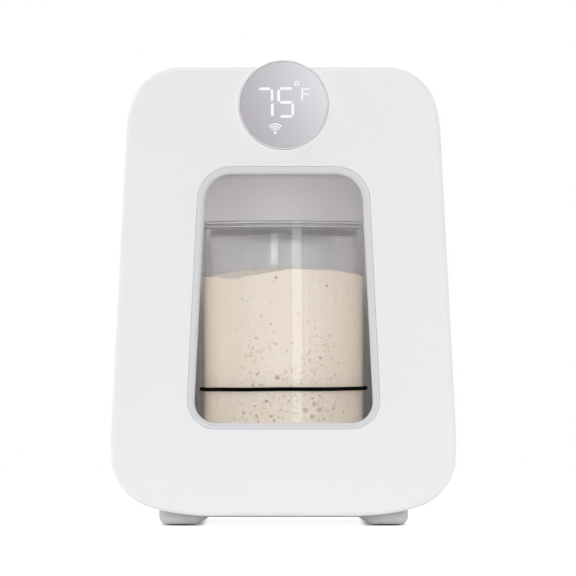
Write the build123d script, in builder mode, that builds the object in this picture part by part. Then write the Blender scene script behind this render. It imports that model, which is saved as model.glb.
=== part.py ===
from build123d import *
from math import asin, atan, cos, degrees, hypot, radians, sin, sqrt

# A counter-top warmer for a jar of sourdough starter: an insulated box on two runner feet, with a
# thermoelectric pump in its back and a full-front door that carries the window and the dial.
# Millimetres, +Z up, the front faces -Y, the origin is on the floor under the middle of the box.

# Front panel outline, with the room it leaves beside the chamber. Each turn is in degrees.
panel_bottom_z = 6.7
panel_margin = 33.7
side_lean = 0.052
top_corner_radius = 31.8
top_blend_radius = 68.0
top_blend_turn = 14.8
knee_blend_radius = 181.0
knee_blend_turn = 6.2
knee_radius = 32.8
sole_radius = 152.0
sole_slope = 15.2

# Depths along Y
dial_proud = 3.5
door_thickness = 19.0
door_gap = 2.0
cover_depth = 32.5
rear_insulation = 16.5
foam_hinge_gap = 3.0
foam_collar = 10.0
foam_gap = 0.3
fan_air_gap = 4.7

# Walls, fits and fasteners
shell_inset = 0.8
shell_wall = 2.5
fit_gap = 0.15
slide_gap = 0.1
shaft_gap = 0.05
boss_root = 0.5
cut_margin = 1.0
screw_radius = 1.4
screw_hole_radius = 1.7
screw_head_radius = 2.8
screw_head_height = 2.0
screw_head_gap = 0.4
low_head_height = 1.2
boss_radius = 4.5

# Edges that show
body_edge_radius = 12.0
cover_edge_radius = 10.0
door_front_radius = 3.0
door_back_radius = 1.5

# Chamber
jar_side_gap = 11.0
jar_front_gap = 3.5
jar_back_gap = 4.0
chamber_floor_z = 42.0
lid_headroom = 35.4
chamber_corner_radius = 14.0
liner_wall = 1.5
liner_flange = 8.0
frame_lip = 1.5
frame_rim_width = 7.0
frame_rim_depth = 2.0
flange_reach = 15.5

# Window in the door
window_lintel = 2.4
window_sill = 19.2
window_top_half = 52.7
window_lean = 0.05
window_top_radius = 21.3
window_bottom_radius = 17.7
trim_width = 4.4
trim_sill_width = 3.5
trim_proud = 0.5
trim_bevel = 1.6
trim_edge_radius = 0.45
trim_groove_inset = 1.5
trim_groove_width = 0.4
trim_groove_depth = 0.4
trim_depth = 5.5
trim_skirt_depth = 6.0
trim_skirt_wall = 1.2
pane_thickness = 2.5
window_collar_wall = 2.0
pane_ledge = 2.0

# Door
door_skin = 3.0
door_wall = 2.5
door_liner_thickness = 3.0
rib_thickness = 1.6
rib_depth = 8.0
low_rib_rise = 68.0
high_rib_drop = 22.0
low_door_screw_rise = 33.0
middle_door_screw_drop = 47.0
high_door_screw_rise = 18.0
door_screw_inset = 13.0
door_screw_bite = 7.0
door_boss_bore = 8.0
gasket_offset = 2.0
gasket_width = 5.0
gasket_tongue_width = 1.6
gasket_tongue_depth = 1.8
gasket_squeeze_gap = 0.1
magnet_margin = 8.0
low_magnet_rise = 58.0
high_magnet_drop = 15.0
magnet_radius = 5.0
magnet_thickness = 2.0
striker_thickness = 1.0

# Hinge
hinge_offset = 0.3
low_hinge_rise = 6.0
hinge_spacing = 92.0
hinge_pin_radius = 1.5
hinge_pin_head_radius = 2.6
hinge_pin_head_height = 1.0
hinge_arm_height = 6.0
hinge_eye_radius = 4.5
hinge_neck_width = 5.0
hinge_foot_width = 20.0
hinge_foot_height = 14.0
hinge_foot_thickness = 2.0
hinge_slot_gap = 0.3
hinge_cheek_height = 3.2
hinge_cheek_radius = 5.0
hinge_web = 3.0
hinge_ear_width = 11.0
hinge_ear_thickness = 2.0
hinge_pocket_gap = 0.8
hinge_reach = 40.0
hinge_foot_radius = 2.0

# Dial
dial_radius = 27.8
dial_window_gap = 10.8
dial_drop = 23.3
dial_ring_lip = 0.65
dial_edge_radius = 0.3
dial_notch_gap = 0.25
lens_recess = 1.0
lens_thickness = 1.5
lens_gap = 0.2
carrier_hub_radius = 25.4
carrier_cup_wall = 2.0
carrier_cup_depth = 4.8
carrier_hub_depth = 6.1
carrier_flange_radius = 27.0
carrier_flange_thickness = 1.6
dial_travel = 1.0
dial_standoff = 1.8
stem_width = 10.0
stem_sleeve_width = 15.0
stem_sleeve_radius = 1.5
pod_floor = 2.0
pod_wall = 2.5
pod_sleeve_depth = 4.8
pod_cover_thickness = 2.0
spring_radius = 11.5
spring_wire_radius = 0.3
spring_turns = 3
spring_seat_depth = 1.0
spring_end_gap = 0.02
board_thickness = 1.4
board_seat = 0.6
stem_bore_depth = 4.0
display_width = 34.0
display_height = 26.0
display_depth = 2.4
display_corner_radius = 1.0
stem_cap_thickness = 1.0
switch_width = 6.0
switch_depth = 1.2
switch_button_radius = 1.7

# Thermoelectric pump and fan
pump_width = 40.0
pump_plate = 0.8
pump_thickness = 3.8
pump_pellet_inset = 2.0
pump_front_gap = 0.5
pocket_gap = 0.5
clamp_inset = 7.0
spreader_width = 90.0
spreader_thickness = 3.0
spreader_corner_radius = 4.0
bulkhead_thickness = 1.5
sink_base = 5.0
fin_count = 14
fin_end_gap = 6.0
fin_thickness = 1.2
fin_height = 17.0
fan_width = 80.0
fan_depth = 15.0
fan_corner_radius = 5.0
fan_gap = 0.5
fan_bore_radius = 38.0
fan_hole_spacing = 71.5
fan_hub_radius = 16.5
fan_hub_wall = 1.5
fan_shaft_radius = 1.5
fan_stator_radius = 12.0
fan_blade_count = 7
fan_tip_gap = 1.0
fan_strut_width = 4.0
fan_strut_depth = 2.0
fan_hole_radius = 2.0
fan_screw_bite = 2.0
fan_spacer_radius = 4.0
stator_setback = 4.0
stator_slot_length = 6.0
stator_slot_width = 2.0
rotor_setback = 1.0
blade_root_chord = 11.0
blade_root_camber = 1.2
blade_root_thickness = 1.6
blade_root_pitch = 40
blade_tip_chord = 15.0
blade_tip_camber = 1.6
blade_tip_thickness = 1.4
blade_tip_pitch = 58

# Rear cover
grille_radius = 36.0
grille_row_count = 6
grille_slot = 3.2
vent_count = 13
vent_pitch = 7.0
vent_width = 3.2
vent_height = 20.0
vent_offset = 72.0
low_cover_screw_z = 50.0
high_cover_screw_drop = 44.5
cover_post_inset = 16.0
cover_rib_thickness = 2.4
cover_lip_depth = 4.0
cover_lip_wall = 1.5
cover_post_floor = 3.0
cover_screw_bite = 12.0
inlet_inset = 33.7
inlet_recess = 0.5
inlet_z = 38.0
inlet_nose_radius = 4.6
inlet_bore_radius = 3.1
inlet_pin_radius = 1.0
inlet_bore_depth = 9.0
inlet_body_width = 11.0
inlet_body_depth = 12.0

# Main board
board_width = 100.0
board_height = 40.0
board_drop = 48.5
board_standoff = 2.5
standoff_radius = 3.0
standoff_inset = 5.0
capacitor_places = ((-34.0, 6.0), (-22.0, 6.0))
capacitor_radius = 4.0
capacitor_height = 9.0
chip_height = 3.0
chip_sizes = (((8.0, 4.0), (18.0, 14.0)), ((36.0, 4.0), (16.0, 20.0)))
relay_places = ((-28.0, -12.0), (-8.0, -12.0))
relay_size = (12.0, 6.0)

# Plinth and feet
plinth_inset = 17.5
plinth_front_inset = 1.0
plinth_back_inset = 36.5
plinth_top_z = 18.0
plinth_underside_z = 5.3
foot_z = 0.8
foot_width = 23.7
foot_slope_width = 7.5
foot_slope_radius = 2.0
foot_edge_radius = 5.0
pad_inset = 12.0
pad_radius = 6.2
pad_recess = 2.0
pad_chamfer = 0.4
pad_front_inset = 15.0
pad_back_inset = 16.0
plinth_screw_x = 30.0
plinth_screw_inset = 37.0
plinth_screw_bite = 6.5
plinth_boss_height = 5.0

# Jar and what is in it
jar_radius = 51.0
jar_wall = 4.0
jar_base = 5.0
jar_height = 145.1
jar_heel_radius = 6.0
jar_inner_radius = 5.0
jar_rim_radius = 1.2
lid_thickness = 4.5
lid_inset = 0.4
lid_edge_radius = 1.0
lid_plug_radius = 43.0
seal_gap = 0.3
seal_height = 5.0
seal_lip = 0.8
starter_drop = 23.1
starter_edge_drop = 6.0
starter_shoulder_share = 0.72
starter_shoulder_drop = 1.5
starter_middle_share = 0.35
starter_middle_drop = 1.0
starter_gap = 0.05
band_rise = 43.5
band_radius = 1.1
band_gap = 0.02
band_tilt = 0.35

# Temperature sensor
sensor_x = 38.0
sensor_setback = 25.5
sensor_radius = 2.2
sensor_tip_radius = 1.8
sensor_length = 4.0
sensor_base_radius = 4.5
sensor_base_thickness = 1.5

# Places that follow from the sizes above
chamber_height = jar_height + lid_thickness + lid_headroom
chamber_top_z = chamber_floor_z + chamber_height
chamber_z = chamber_floor_z + chamber_height / 2
jar_rim_z = chamber_floor_z + jar_height
starter_z = jar_rim_z - starter_drop
band_z = chamber_floor_z + band_rise
window_top_z = chamber_top_z - window_lintel
window_bottom_z = chamber_floor_z + window_sill
dial_z = window_top_z + dial_window_gap + dial_radius
panel_top_z = dial_z + dial_drop
hinge_heights = (chamber_floor_z + low_hinge_rise, chamber_floor_z + low_hinge_rise + hinge_spacing)
rib_heights = (chamber_floor_z + low_rib_rise, chamber_top_z - high_rib_drop)
magnet_heights = (chamber_floor_z + low_magnet_rise, chamber_top_z - high_magnet_drop)
door_screw_heights = (
    chamber_floor_z + low_door_screw_rise,
    chamber_top_z - middle_door_screw_drop,
    chamber_top_z + high_door_screw_rise,
)
cover_screw_heights = (low_cover_screw_z, panel_top_z - high_cover_screw_drop)
board_z = panel_top_z - board_drop
grille_pitch = grille_radius / grille_row_count
chamber_width = 2 * (jar_radius + jar_side_gap)
chamber_depth = 2 * jar_radius + jar_front_gap + jar_back_gap
panel_top_half = chamber_width / 2 + panel_margin
hinge_x = -(panel_top_half + hinge_offset)
magnet_x = chamber_width / 2 + gasket_offset + gasket_width + magnet_margin
inlet_x = panel_top_half - inlet_inset
sink_width = spreader_width
fin_pitch = (sink_width - 2 * fin_end_gap) / (fin_count - 1)
arm_half = hinge_arm_height / 2
cheek_top = arm_half + hinge_slot_gap + hinge_cheek_height
foot_x = hinge_x + hinge_foot_width / 2 - hinge_neck_width / 2 - boss_root
web_x = hinge_x + hinge_eye_radius + hinge_slot_gap
ear_x = web_x + hinge_web + hinge_ear_width / 2
stack_depth = pump_front_gap + pump_thickness + sink_base + fin_height + fan_gap + fan_depth
front_depth = dial_proud + door_thickness + door_gap + shell_wall
back_depth = liner_wall + rear_insulation + bulkhead_thickness + stack_depth + fan_air_gap + shell_wall
overall_depth = front_depth + chamber_depth + back_depth
dial_front_y = -overall_depth / 2
rear_y = overall_depth / 2
panel_front_y = dial_front_y + dial_proud
door_back_y = panel_front_y + door_thickness
body_front_y = door_back_y + door_gap
hinge_y = body_front_y + body_edge_radius
web_y = hinge_y + hinge_eye_radius + hinge_slot_gap
split_y = rear_y - cover_depth
frame_back_y = body_front_y + shell_wall
chamber_back_y = frame_back_y + chamber_depth
jar_y = frame_back_y + jar_front_gap + jar_radius
sensor_y = frame_back_y + sensor_setback
liner_back_y = chamber_back_y + liner_wall
door_liner_y = door_back_y - door_liner_thickness
cover_inside_y = rear_y - shell_wall
bulkhead_y = liner_back_y + rear_insulation
bulkhead_back_y = bulkhead_y + bulkhead_thickness
pump_y = bulkhead_back_y + pump_front_gap
sink_y = pump_y + pump_thickness
sink_back_y = sink_y + sink_base + fin_height
fan_y = sink_back_y + fan_gap
fan_back_y = fan_y + fan_depth
plinth_half = panel_top_half - plinth_inset
plinth_front_y = body_front_y + plinth_front_inset
plinth_back_y = rear_y - plinth_back_inset
foot_inner_half = plinth_half - foot_width
foot_slope_half = foot_inner_half - foot_slope_width
pad_x = plinth_half - pad_inset
pad_ys = (plinth_front_y + pad_front_inset, plinth_back_y - pad_back_inset)
plinth_screw_ys = (plinth_front_y + plinth_screw_inset, plinth_back_y - plinth_screw_inset)
shell_floor_z = panel_bottom_z + shell_inset


def upright(y):
    """The plane at this depth, seen from the front: X to the right and Z up."""
    return Plane.XZ.offset(-y)


def level(z):
    """The level plane at this height."""
    return Plane.XY.offset(z)


def panel_half(z):
    """Half the front panel's width at this height, on its leaning sides."""
    return panel_top_half + side_lean * (panel_top_z - z)


def arc_run(arcs):
    """How far a chain of arcs goes along and up from a level start; each is a radius and its turn."""
    along, rise, heading = 0.0, 0.0, 0.0
    for radius, turn in arcs:
        ahead = heading + radians(turn)
        along += radius * (sin(ahead) - sin(heading))
        rise += radius * (cos(heading) - cos(ahead))
        heading = ahead
    return along, rise


def panel_outline(inset=0.0):
    """The front panel's outline, drawn in by inset all round. Its corners ease into the leaning sides."""
    lean = degrees(atan(side_lean))
    top_arcs = [(top_corner_radius, 90 - lean - top_blend_turn), (top_blend_radius, top_blend_turn)]
    sole_arcs = [
        (sole_radius, sole_slope),
        (knee_radius, 90 + lean - knee_blend_turn - sole_slope),
        (knee_blend_radius, knee_blend_turn),
    ]
    top_run, top_fall = arc_run(top_arcs)
    sole_run, sole_rise = arc_run(sole_arcs)
    top_x = panel_half(panel_top_z - top_fall) - top_run
    sole_x = panel_half(panel_bottom_z + sole_rise) - sole_run
    with BuildSketch() as outline:
        with BuildLine():
            Line((-top_x, panel_top_z), (top_x, panel_top_z))
            Line((-sole_x, panel_bottom_z), (sole_x, panel_bottom_z))
            for side in (1, -1):
                high_end, high_way = (side * top_x, panel_top_z), (side, 0)
                for radius, turn in top_arcs:
                    high = JernArc(high_end, high_way, radius, -side * turn)
                    high_end, high_way = high @ 1, high % 1
                low_end, low_way = (side * sole_x, panel_bottom_z), (side, 0)
                for radius, turn in sole_arcs:
                    low = JernArc(low_end, low_way, radius, side * turn)
                    low_end, low_way = low @ 1, low % 1
                Line(high_end, low_end)
        make_face()
        if inset:
            offset(amount=-inset)
    return outline.sketch


def window_outline(inset=0.0, sill=None):
    """The window's outline, drawn in by inset, or by sill along its bottom edge."""
    slant = inset * hypot(1.0, window_lean)
    top_z = window_top_z - inset
    bottom_z = window_bottom_z + (inset if sill is None else sill)
    top_half = window_top_half + window_lean * inset - slant
    bottom_half = window_top_half + window_lean * (window_top_z - bottom_z) - slant
    right = [(top_half, top_z), (bottom_half, bottom_z)]
    left = [(-x, z) for x, z in reversed(right)]
    radii = [window_top_radius - inset, window_bottom_radius - inset]
    with BuildSketch() as outline:
        with BuildLine():
            FilletPolyline(*right, *left, radius=radii + radii[::-1], close=True)
        make_face()
    return outline.sketch


def mouth_outline(outset=0.0):
    """The chamber's mouth, let out by outset all round."""
    with BuildSketch() as outline:
        with Locations((0, chamber_z)):
            RectangleRounded(
                chamber_width + 2 * outset,
                chamber_height + 2 * outset,
                chamber_corner_radius + outset,
            )
    return outline.sketch


def mirrored(points):
    """Each point and its mirror image about the middle."""
    return [(side * x, z) for x, z in points for side in (1, -1)]


cover_posts = mirrored([(panel_half(z) - cover_post_inset, z) for z in cover_screw_heights])
door_screws = mirrored([(panel_half(z) - door_screw_inset, z) for z in door_screw_heights])
plinth_screws = [(side * plinth_screw_x, y) for y in plinth_screw_ys for side in (1, -1)]
pad_places = [(side * pad_x, y) for y in pad_ys for side in (1, -1)]
magnet_places = [(magnet_x, z) for z in magnet_heights]
fan_z = chamber_z
clamp_places = [(0, fan_z + side * (spreader_width / 2 - clamp_inset)) for side in (1, -1)]
fan_holes = mirrored([(fan_hole_spacing / 2, fan_z + side * fan_hole_spacing / 2) for side in (1, -1)])
pieces = []

# Body shell: a tube of the panel's outline, its front edge rounded about the hinge line
with BuildPart() as shell_hollow:
    with BuildSketch(upright(split_y)):
        add(panel_outline(shell_inset + shell_wall))
    extrude(amount=split_y - frame_back_y)
    fillet(shell_hollow.faces().sort_by(Axis.Y)[0].edges(), body_edge_radius - shell_wall)

with BuildPart() as hinge_pockets:
    for z in hinge_heights:
        pocket_half = cheek_top + hinge_pin_head_height + hinge_pocket_gap
        pocket_right = web_x + hinge_web + hinge_pocket_gap
        pocket_back = web_y + hinge_web + hinge_pocket_gap
        with BuildSketch(level(z - pocket_half)):
            with Locations((pocket_right, pocket_back)):
                Rectangle(hinge_reach, hinge_reach, align=(Align.MAX, Align.MAX))
        extrude(amount=2 * pocket_half)

with BuildPart() as body_shell:
    with BuildSketch(upright(split_y)):
        add(panel_outline(shell_inset))
    extrude(amount=split_y - body_front_y)
    fillet(body_shell.faces().sort_by(Axis.Y)[0].edges(), body_edge_radius)
    add(shell_hollow.part, mode=Mode.SUBTRACT)
    with BuildSketch(upright(frame_back_y)):
        add(panel_outline(shell_inset + flange_reach))
    extrude(amount=2 * shell_wall, mode=Mode.SUBTRACT)
    with BuildSketch(upright(split_y)):
        for x, z in cover_posts:
            with Locations((x, z)):
                Circle(boss_radius)
            with Locations((x * (1 + cover_post_inset / 2 / abs(x)), z)):
                Rectangle(cover_post_inset, cover_rib_thickness)
        add(panel_outline(shell_inset + shell_wall / 2), mode=Mode.INTERSECT)
    extrude(amount=split_y - bulkhead_back_y - cut_margin)
    with BuildSketch(upright(split_y)):
        with Locations(*cover_posts):
            Circle(screw_radius)
    extrude(amount=split_y - bulkhead_back_y - 3 * cut_margin, mode=Mode.SUBTRACT)
    with BuildSketch(level(shell_floor_z + shell_wall - boss_root)):
        with Locations(*plinth_screws):
            Circle(boss_radius)
    extrude(amount=plinth_boss_height)
    with BuildSketch(level(shell_floor_z - boss_root)):
        with Locations(*plinth_screws):
            Circle(screw_radius)
    extrude(amount=plinth_boss_height + 2 * boss_root, mode=Mode.SUBTRACT)
    add(hinge_pockets.part, mode=Mode.SUBTRACT)
body_shell.part.label = "body_shell"
pieces.append(body_shell)

# Front frame: the moulding round the chamber's mouth, held behind the shell's flange
ear_half = hinge_foot_height / 2 + cut_margin
frame_rim_inset = shell_inset + body_edge_radius + fit_gap
with BuildPart() as front_frame:
    with BuildSketch(upright(frame_back_y)):
        add(panel_outline(shell_inset + flange_reach + fit_gap))
        add(mouth_outline(-frame_lip), mode=Mode.SUBTRACT)
    extrude(amount=frame_back_y - body_front_y)
    with BuildSketch(upright(frame_back_y + frame_rim_depth)):
        add(panel_outline(frame_rim_inset))
        add(panel_outline(frame_rim_inset + frame_rim_width), mode=Mode.SUBTRACT)
    extrude(amount=frame_rim_depth)
    with BuildSketch(upright(frame_back_y + frame_rim_depth)):
        with Locations(*[(hinge_x, z) for z in hinge_heights]):
            Rectangle(
                2 * (web_x + hinge_web + hinge_ear_width - hinge_x + cut_margin),
                2 * ear_half + cut_margin,
            )
    extrude(amount=frame_rim_depth, mode=Mode.SUBTRACT)
    with BuildSketch(upright(body_front_y + striker_thickness)):
        with Locations(*magnet_places):
            Circle(magnet_radius)
    extrude(amount=striker_thickness, mode=Mode.SUBTRACT)
    add(hinge_pockets.part, mode=Mode.SUBTRACT)
front_frame.part.label = "front_frame"
pieces.append(front_frame)

with BuildPart() as striker_plates:
    with BuildSketch(upright(body_front_y + striker_thickness)):
        with Locations(*magnet_places):
            Circle(magnet_radius - slide_gap)
    extrude(amount=striker_thickness)
striker_plates.part.label = "striker_plates"
pieces.append(striker_plates)

# Chamber liner: a drawn aluminium box with a flange behind the front frame
with BuildPart() as liner_hollow:
    with BuildSketch(upright(chamber_back_y)):
        add(mouth_outline())
    extrude(amount=chamber_back_y - frame_back_y)
    fillet(liner_hollow.faces().sort_by(Axis.Y)[-1].edges(), chamber_corner_radius / 2)

with BuildPart() as chamber_liner:
    with BuildSketch(upright(liner_back_y)):
        add(mouth_outline(liner_wall))
    extrude(amount=liner_back_y - frame_back_y)
    fillet(
        chamber_liner.faces().sort_by(Axis.Y)[-1].edges(),
        chamber_corner_radius / 2 + liner_wall,
    )
    with BuildSketch(upright(frame_back_y + liner_wall)):
        add(mouth_outline(liner_flange))
    extrude(amount=liner_wall)
    add(liner_hollow.part, mode=Mode.SUBTRACT)
chamber_liner.part.label = "chamber_liner"
pieces.append(chamber_liner)

sensor_seat_z = chamber_floor_z + chamber_height - sensor_base_thickness
with BuildPart() as temperature_sensor:
    with BuildSketch(level(sensor_seat_z)):
        with Locations((sensor_x, sensor_y)):
            Circle(sensor_base_radius)
    extrude(amount=sensor_base_thickness)
    with BuildSketch(level(sensor_seat_z - sensor_length)):
        with Locations((sensor_x, sensor_y)):
            Circle(sensor_radius)
    extrude(amount=sensor_length)
    fillet(temperature_sensor.faces().sort_by(Axis.Z)[0].edges(), sensor_tip_radius)
temperature_sensor.part.label = "temperature_sensor"
pieces.append(temperature_sensor)

# Insulation: a foam block round the liner, with a pocket for the cold spreader
collar_front_y = frame_back_y + 2 * hinge_ear_thickness
foam_front_y = hinge_y + hinge_eye_radius + hinge_web + foam_hinge_gap
with BuildPart() as insulation:
    with BuildSketch(upright(bulkhead_y)):
        add(panel_outline(shell_inset + shell_wall + pocket_gap))
    extrude(amount=bulkhead_y - foam_front_y)
    with BuildSketch(upright(foam_front_y)):
        add(mouth_outline(liner_wall + foam_collar))
    extrude(amount=foam_front_y - collar_front_y)
    with BuildSketch(upright(liner_back_y + foam_gap)):
        add(mouth_outline(liner_wall + foam_gap))
    extrude(amount=liner_back_y - collar_front_y + cut_margin, mode=Mode.SUBTRACT)
    with BuildSketch(upright(liner_back_y + spreader_thickness + fit_gap)):
        with Locations((0, fan_z)):
            Rectangle(spreader_width + 2 * pocket_gap, spreader_width + 2 * pocket_gap)
    extrude(amount=spreader_thickness + fit_gap, mode=Mode.SUBTRACT)
    with BuildSketch(upright(bulkhead_y)):
        with Locations((0, fan_z)):
            Rectangle(pump_width + 2 * pocket_gap, pump_width + 2 * pocket_gap)
        with Locations(*clamp_places):
            Circle(screw_hole_radius)
    extrude(amount=bulkhead_y - liner_back_y, mode=Mode.SUBTRACT)
    with BuildSketch(level(shell_floor_z)):
        with Locations(*plinth_screws):
            Circle(boss_radius + fit_gap)
    extrude(amount=shell_wall + plinth_boss_height + fit_gap, mode=Mode.SUBTRACT)
insulation.part.label = "insulation"
pieces.append(insulation)

# Thermoelectric pump: cold spreader and block, module, finned hot side, clamp screws
with BuildPart() as cold_block:
    with BuildSketch(upright(liner_back_y + spreader_thickness)):
        with Locations((0, fan_z)):
            RectangleRounded(spreader_width, spreader_width, spreader_corner_radius)
    extrude(amount=spreader_thickness)
    with BuildSketch(upright(pump_y)):
        with Locations((0, fan_z)):
            Rectangle(pump_width, pump_width)
    extrude(amount=pump_y - liner_back_y)
    with BuildSketch(upright(liner_back_y + spreader_thickness)):
        with Locations(*clamp_places):
            Circle(screw_radius)
    extrude(amount=spreader_thickness, mode=Mode.SUBTRACT)
cold_block.part.label = "cold_block"
pieces.append(cold_block)

with BuildPart() as thermoelectric_module:
    for start_y, depth, inset in (
        (pump_y + pump_plate, pump_plate, 0.0),
        (sink_y - pump_plate, pump_thickness - 2 * pump_plate, pump_pellet_inset),
        (sink_y, pump_plate, 0.0),
    ):
        with BuildSketch(upright(start_y)):
            with Locations((0, fan_z)):
                Rectangle(pump_width - 2 * inset, pump_width - 2 * inset)
        extrude(amount=depth)
thermoelectric_module.part.label = "thermoelectric_module"
pieces.append(thermoelectric_module)

with BuildPart() as rear_bulkhead:
    with BuildSketch(upright(bulkhead_back_y)):
        add(panel_outline(shell_inset + shell_wall + pocket_gap))
        with Locations((0, fan_z)):
            Rectangle(pump_width + 2 * pocket_gap, pump_width + 2 * pocket_gap, mode=Mode.SUBTRACT)
        with Locations(*clamp_places):
            Circle(screw_hole_radius, mode=Mode.SUBTRACT)
    extrude(amount=bulkhead_thickness)
    with BuildSketch(upright(bulkhead_back_y + board_standoff)):
        with Locations((0, board_z)):
            with GridLocations(board_width - 2 * standoff_inset, board_height - 2 * standoff_inset, 2, 2):
                Circle(standoff_radius)
    extrude(amount=board_standoff + bulkhead_thickness / 2)
rear_bulkhead.part.label = "rear_bulkhead"
pieces.append(rear_bulkhead)

with BuildPart() as heat_sink:
    with BuildSketch(upright(sink_y + sink_base)):
        with Locations((0, fan_z)):
            Rectangle(sink_width, sink_width)
    extrude(amount=sink_base)
    with BuildSketch(upright(sink_back_y)):
        with Locations((0, fan_z)):
            with GridLocations(fin_pitch, 1, fin_count, 1):
                Rectangle(fin_thickness, sink_width)
    extrude(amount=fin_height + boss_root)
    with BuildSketch(upright(sink_y + sink_base)):
        with Locations(*clamp_places):
            Circle(screw_hole_radius)
    extrude(amount=sink_base, mode=Mode.SUBTRACT)
heat_sink.part.label = "heat_sink"
pieces.append(heat_sink)

with BuildPart() as clamp_screws:
    with BuildSketch(upright(sink_y + sink_base)):
        with Locations(*clamp_places):
            Circle(screw_radius)
    extrude(amount=sink_y + sink_base - liner_back_y - fit_gap)
    with BuildSketch(upright(sink_y + sink_base + screw_head_height)):
        with Locations(*clamp_places):
            Circle((fin_pitch - fin_thickness) / 2 - slide_gap)
    extrude(amount=screw_head_height)
clamp_screws.part.label = "clamp_screws"
pieces.append(clamp_screws)

# Fan: square frame with struts, stator, and a rotor of twisted, cambered blades
with BuildPart() as fan_frame:
    with BuildSketch(upright(fan_back_y)):
        with Locations((0, fan_z)):
            RectangleRounded(fan_width, fan_width, fan_corner_radius)
            Circle(fan_bore_radius, mode=Mode.SUBTRACT)
    extrude(amount=fan_depth)
    with BuildSketch(upright(fan_back_y)):
        with Locations((0, fan_z)):
            Circle(fan_hub_radius)
            with PolarLocations((fan_bore_radius + fan_hub_radius) / 2, 4, 45):
                Rectangle(fan_bore_radius - fan_hub_radius + fan_strut_width, fan_strut_width)
    extrude(amount=fan_strut_depth)
    with BuildSketch(upright(fan_back_y)):
        with Locations(*fan_holes):
            Circle(fan_hole_radius)
    extrude(amount=fan_depth, mode=Mode.SUBTRACT)
fan_frame.part.label = "fan_frame"
pieces.append(fan_frame)

stator_front_y = fan_y + stator_setback
with BuildPart() as fan_stator:
    with BuildSketch(upright(fan_back_y - fan_strut_depth)):
        with Locations((0, fan_z)):
            Circle(fan_stator_radius)
            Circle(fan_shaft_radius + shaft_gap, mode=Mode.SUBTRACT)
            with PolarLocations(fan_stator_radius, 4):
                Rectangle(stator_slot_length, stator_slot_width, mode=Mode.SUBTRACT)
    extrude(amount=fan_back_y - fan_strut_depth - stator_front_y)
fan_stator.part.label = "fan_stator"
pieces.append(fan_stator)


def blade_section(chord, camber, thickness, pitch):
    """A cambered blade section, turned by pitch degrees from the fan's axis."""
    with BuildSketch() as section:
        with BuildLine():
            ThreePointArc((-chord / 2, 0), (0, camber + thickness / 2), (chord / 2, 0))
            ThreePointArc((chord / 2, 0), (0, camber - thickness / 2), (-chord / 2, 0))
        make_face()
    return section.sketch.rotate(Axis.Z, pitch)


rotor_front_y = fan_y + rotor_setback
rotor_depth = fan_depth - fan_strut_depth - 2 * rotor_setback
rotor_middle_y = rotor_front_y + rotor_depth / 2
blade_root = fan_hub_radius - fan_hub_wall / 2
blade_tip = fan_bore_radius - fan_tip_gap
with BuildPart() as fan_rotor:
    with BuildSketch(upright(rotor_front_y + rotor_depth)):
        with Locations((0, fan_z)):
            Circle(fan_hub_radius)
            Circle(fan_hub_radius - fan_hub_wall, mode=Mode.SUBTRACT)
    extrude(amount=rotor_depth)
    with BuildSketch(upright(rotor_front_y + fan_hub_wall)):
        with Locations((0, fan_z)):
            Circle(fan_hub_radius)
    extrude(amount=fan_hub_wall)
    with BuildSketch(upright(rotor_front_y + rotor_depth - rotor_setback)):
        with Locations((0, fan_z)):
            Circle(fan_shaft_radius)
    extrude(amount=rotor_depth - rotor_setback)
    for blade in range(fan_blade_count):
        turn = radians(blade * 360 / fan_blade_count)
        spoke = Plane(
            origin=(0, rotor_middle_y, fan_z),
            x_dir=(0, 1, 0),
            z_dir=(cos(turn), 0, sin(turn)),
        )
        with BuildSketch(spoke.offset(blade_root)):
            add(blade_section(blade_root_chord, blade_root_camber, blade_root_thickness, blade_root_pitch))
        with BuildSketch(spoke.offset(blade_tip)):
            add(blade_section(blade_tip_chord, blade_tip_camber, blade_tip_thickness, blade_tip_pitch))
        loft()
fan_rotor.part.label = "fan_rotor"
pieces.append(fan_rotor)

with BuildPart() as fan_screws:
    with BuildSketch(upright(cover_inside_y + fan_screw_bite)):
        with Locations(*fan_holes):
            Circle(screw_radius)
    extrude(amount=cover_inside_y + fan_screw_bite - fan_y)
    with BuildSketch(upright(fan_y)):
        with Locations(*fan_holes):
            Circle(screw_head_radius)
    extrude(amount=fan_gap)
fan_screws.part.label = "fan_screws"
pieces.append(fan_screws)

with BuildPart() as fan_spacers:
    with BuildSketch(upright(cover_inside_y)):
        with Locations(*fan_holes):
            Circle(fan_spacer_radius)
            Circle(screw_hole_radius, mode=Mode.SUBTRACT)
    extrude(amount=cover_inside_y - fan_back_y)
fan_spacers.part.label = "fan_spacers"
pieces.append(fan_spacers)

# Rear cover: a deep cap with the fan grille, two banks of vents and the inlet hole
with BuildPart() as cover_hollow:
    with BuildSketch(upright(cover_inside_y)):
        add(panel_outline(shell_inset + shell_wall))
    extrude(amount=cover_inside_y - split_y)
    fillet(cover_hollow.faces().sort_by(Axis.Y)[-1].edges(), cover_edge_radius - shell_wall)

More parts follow.
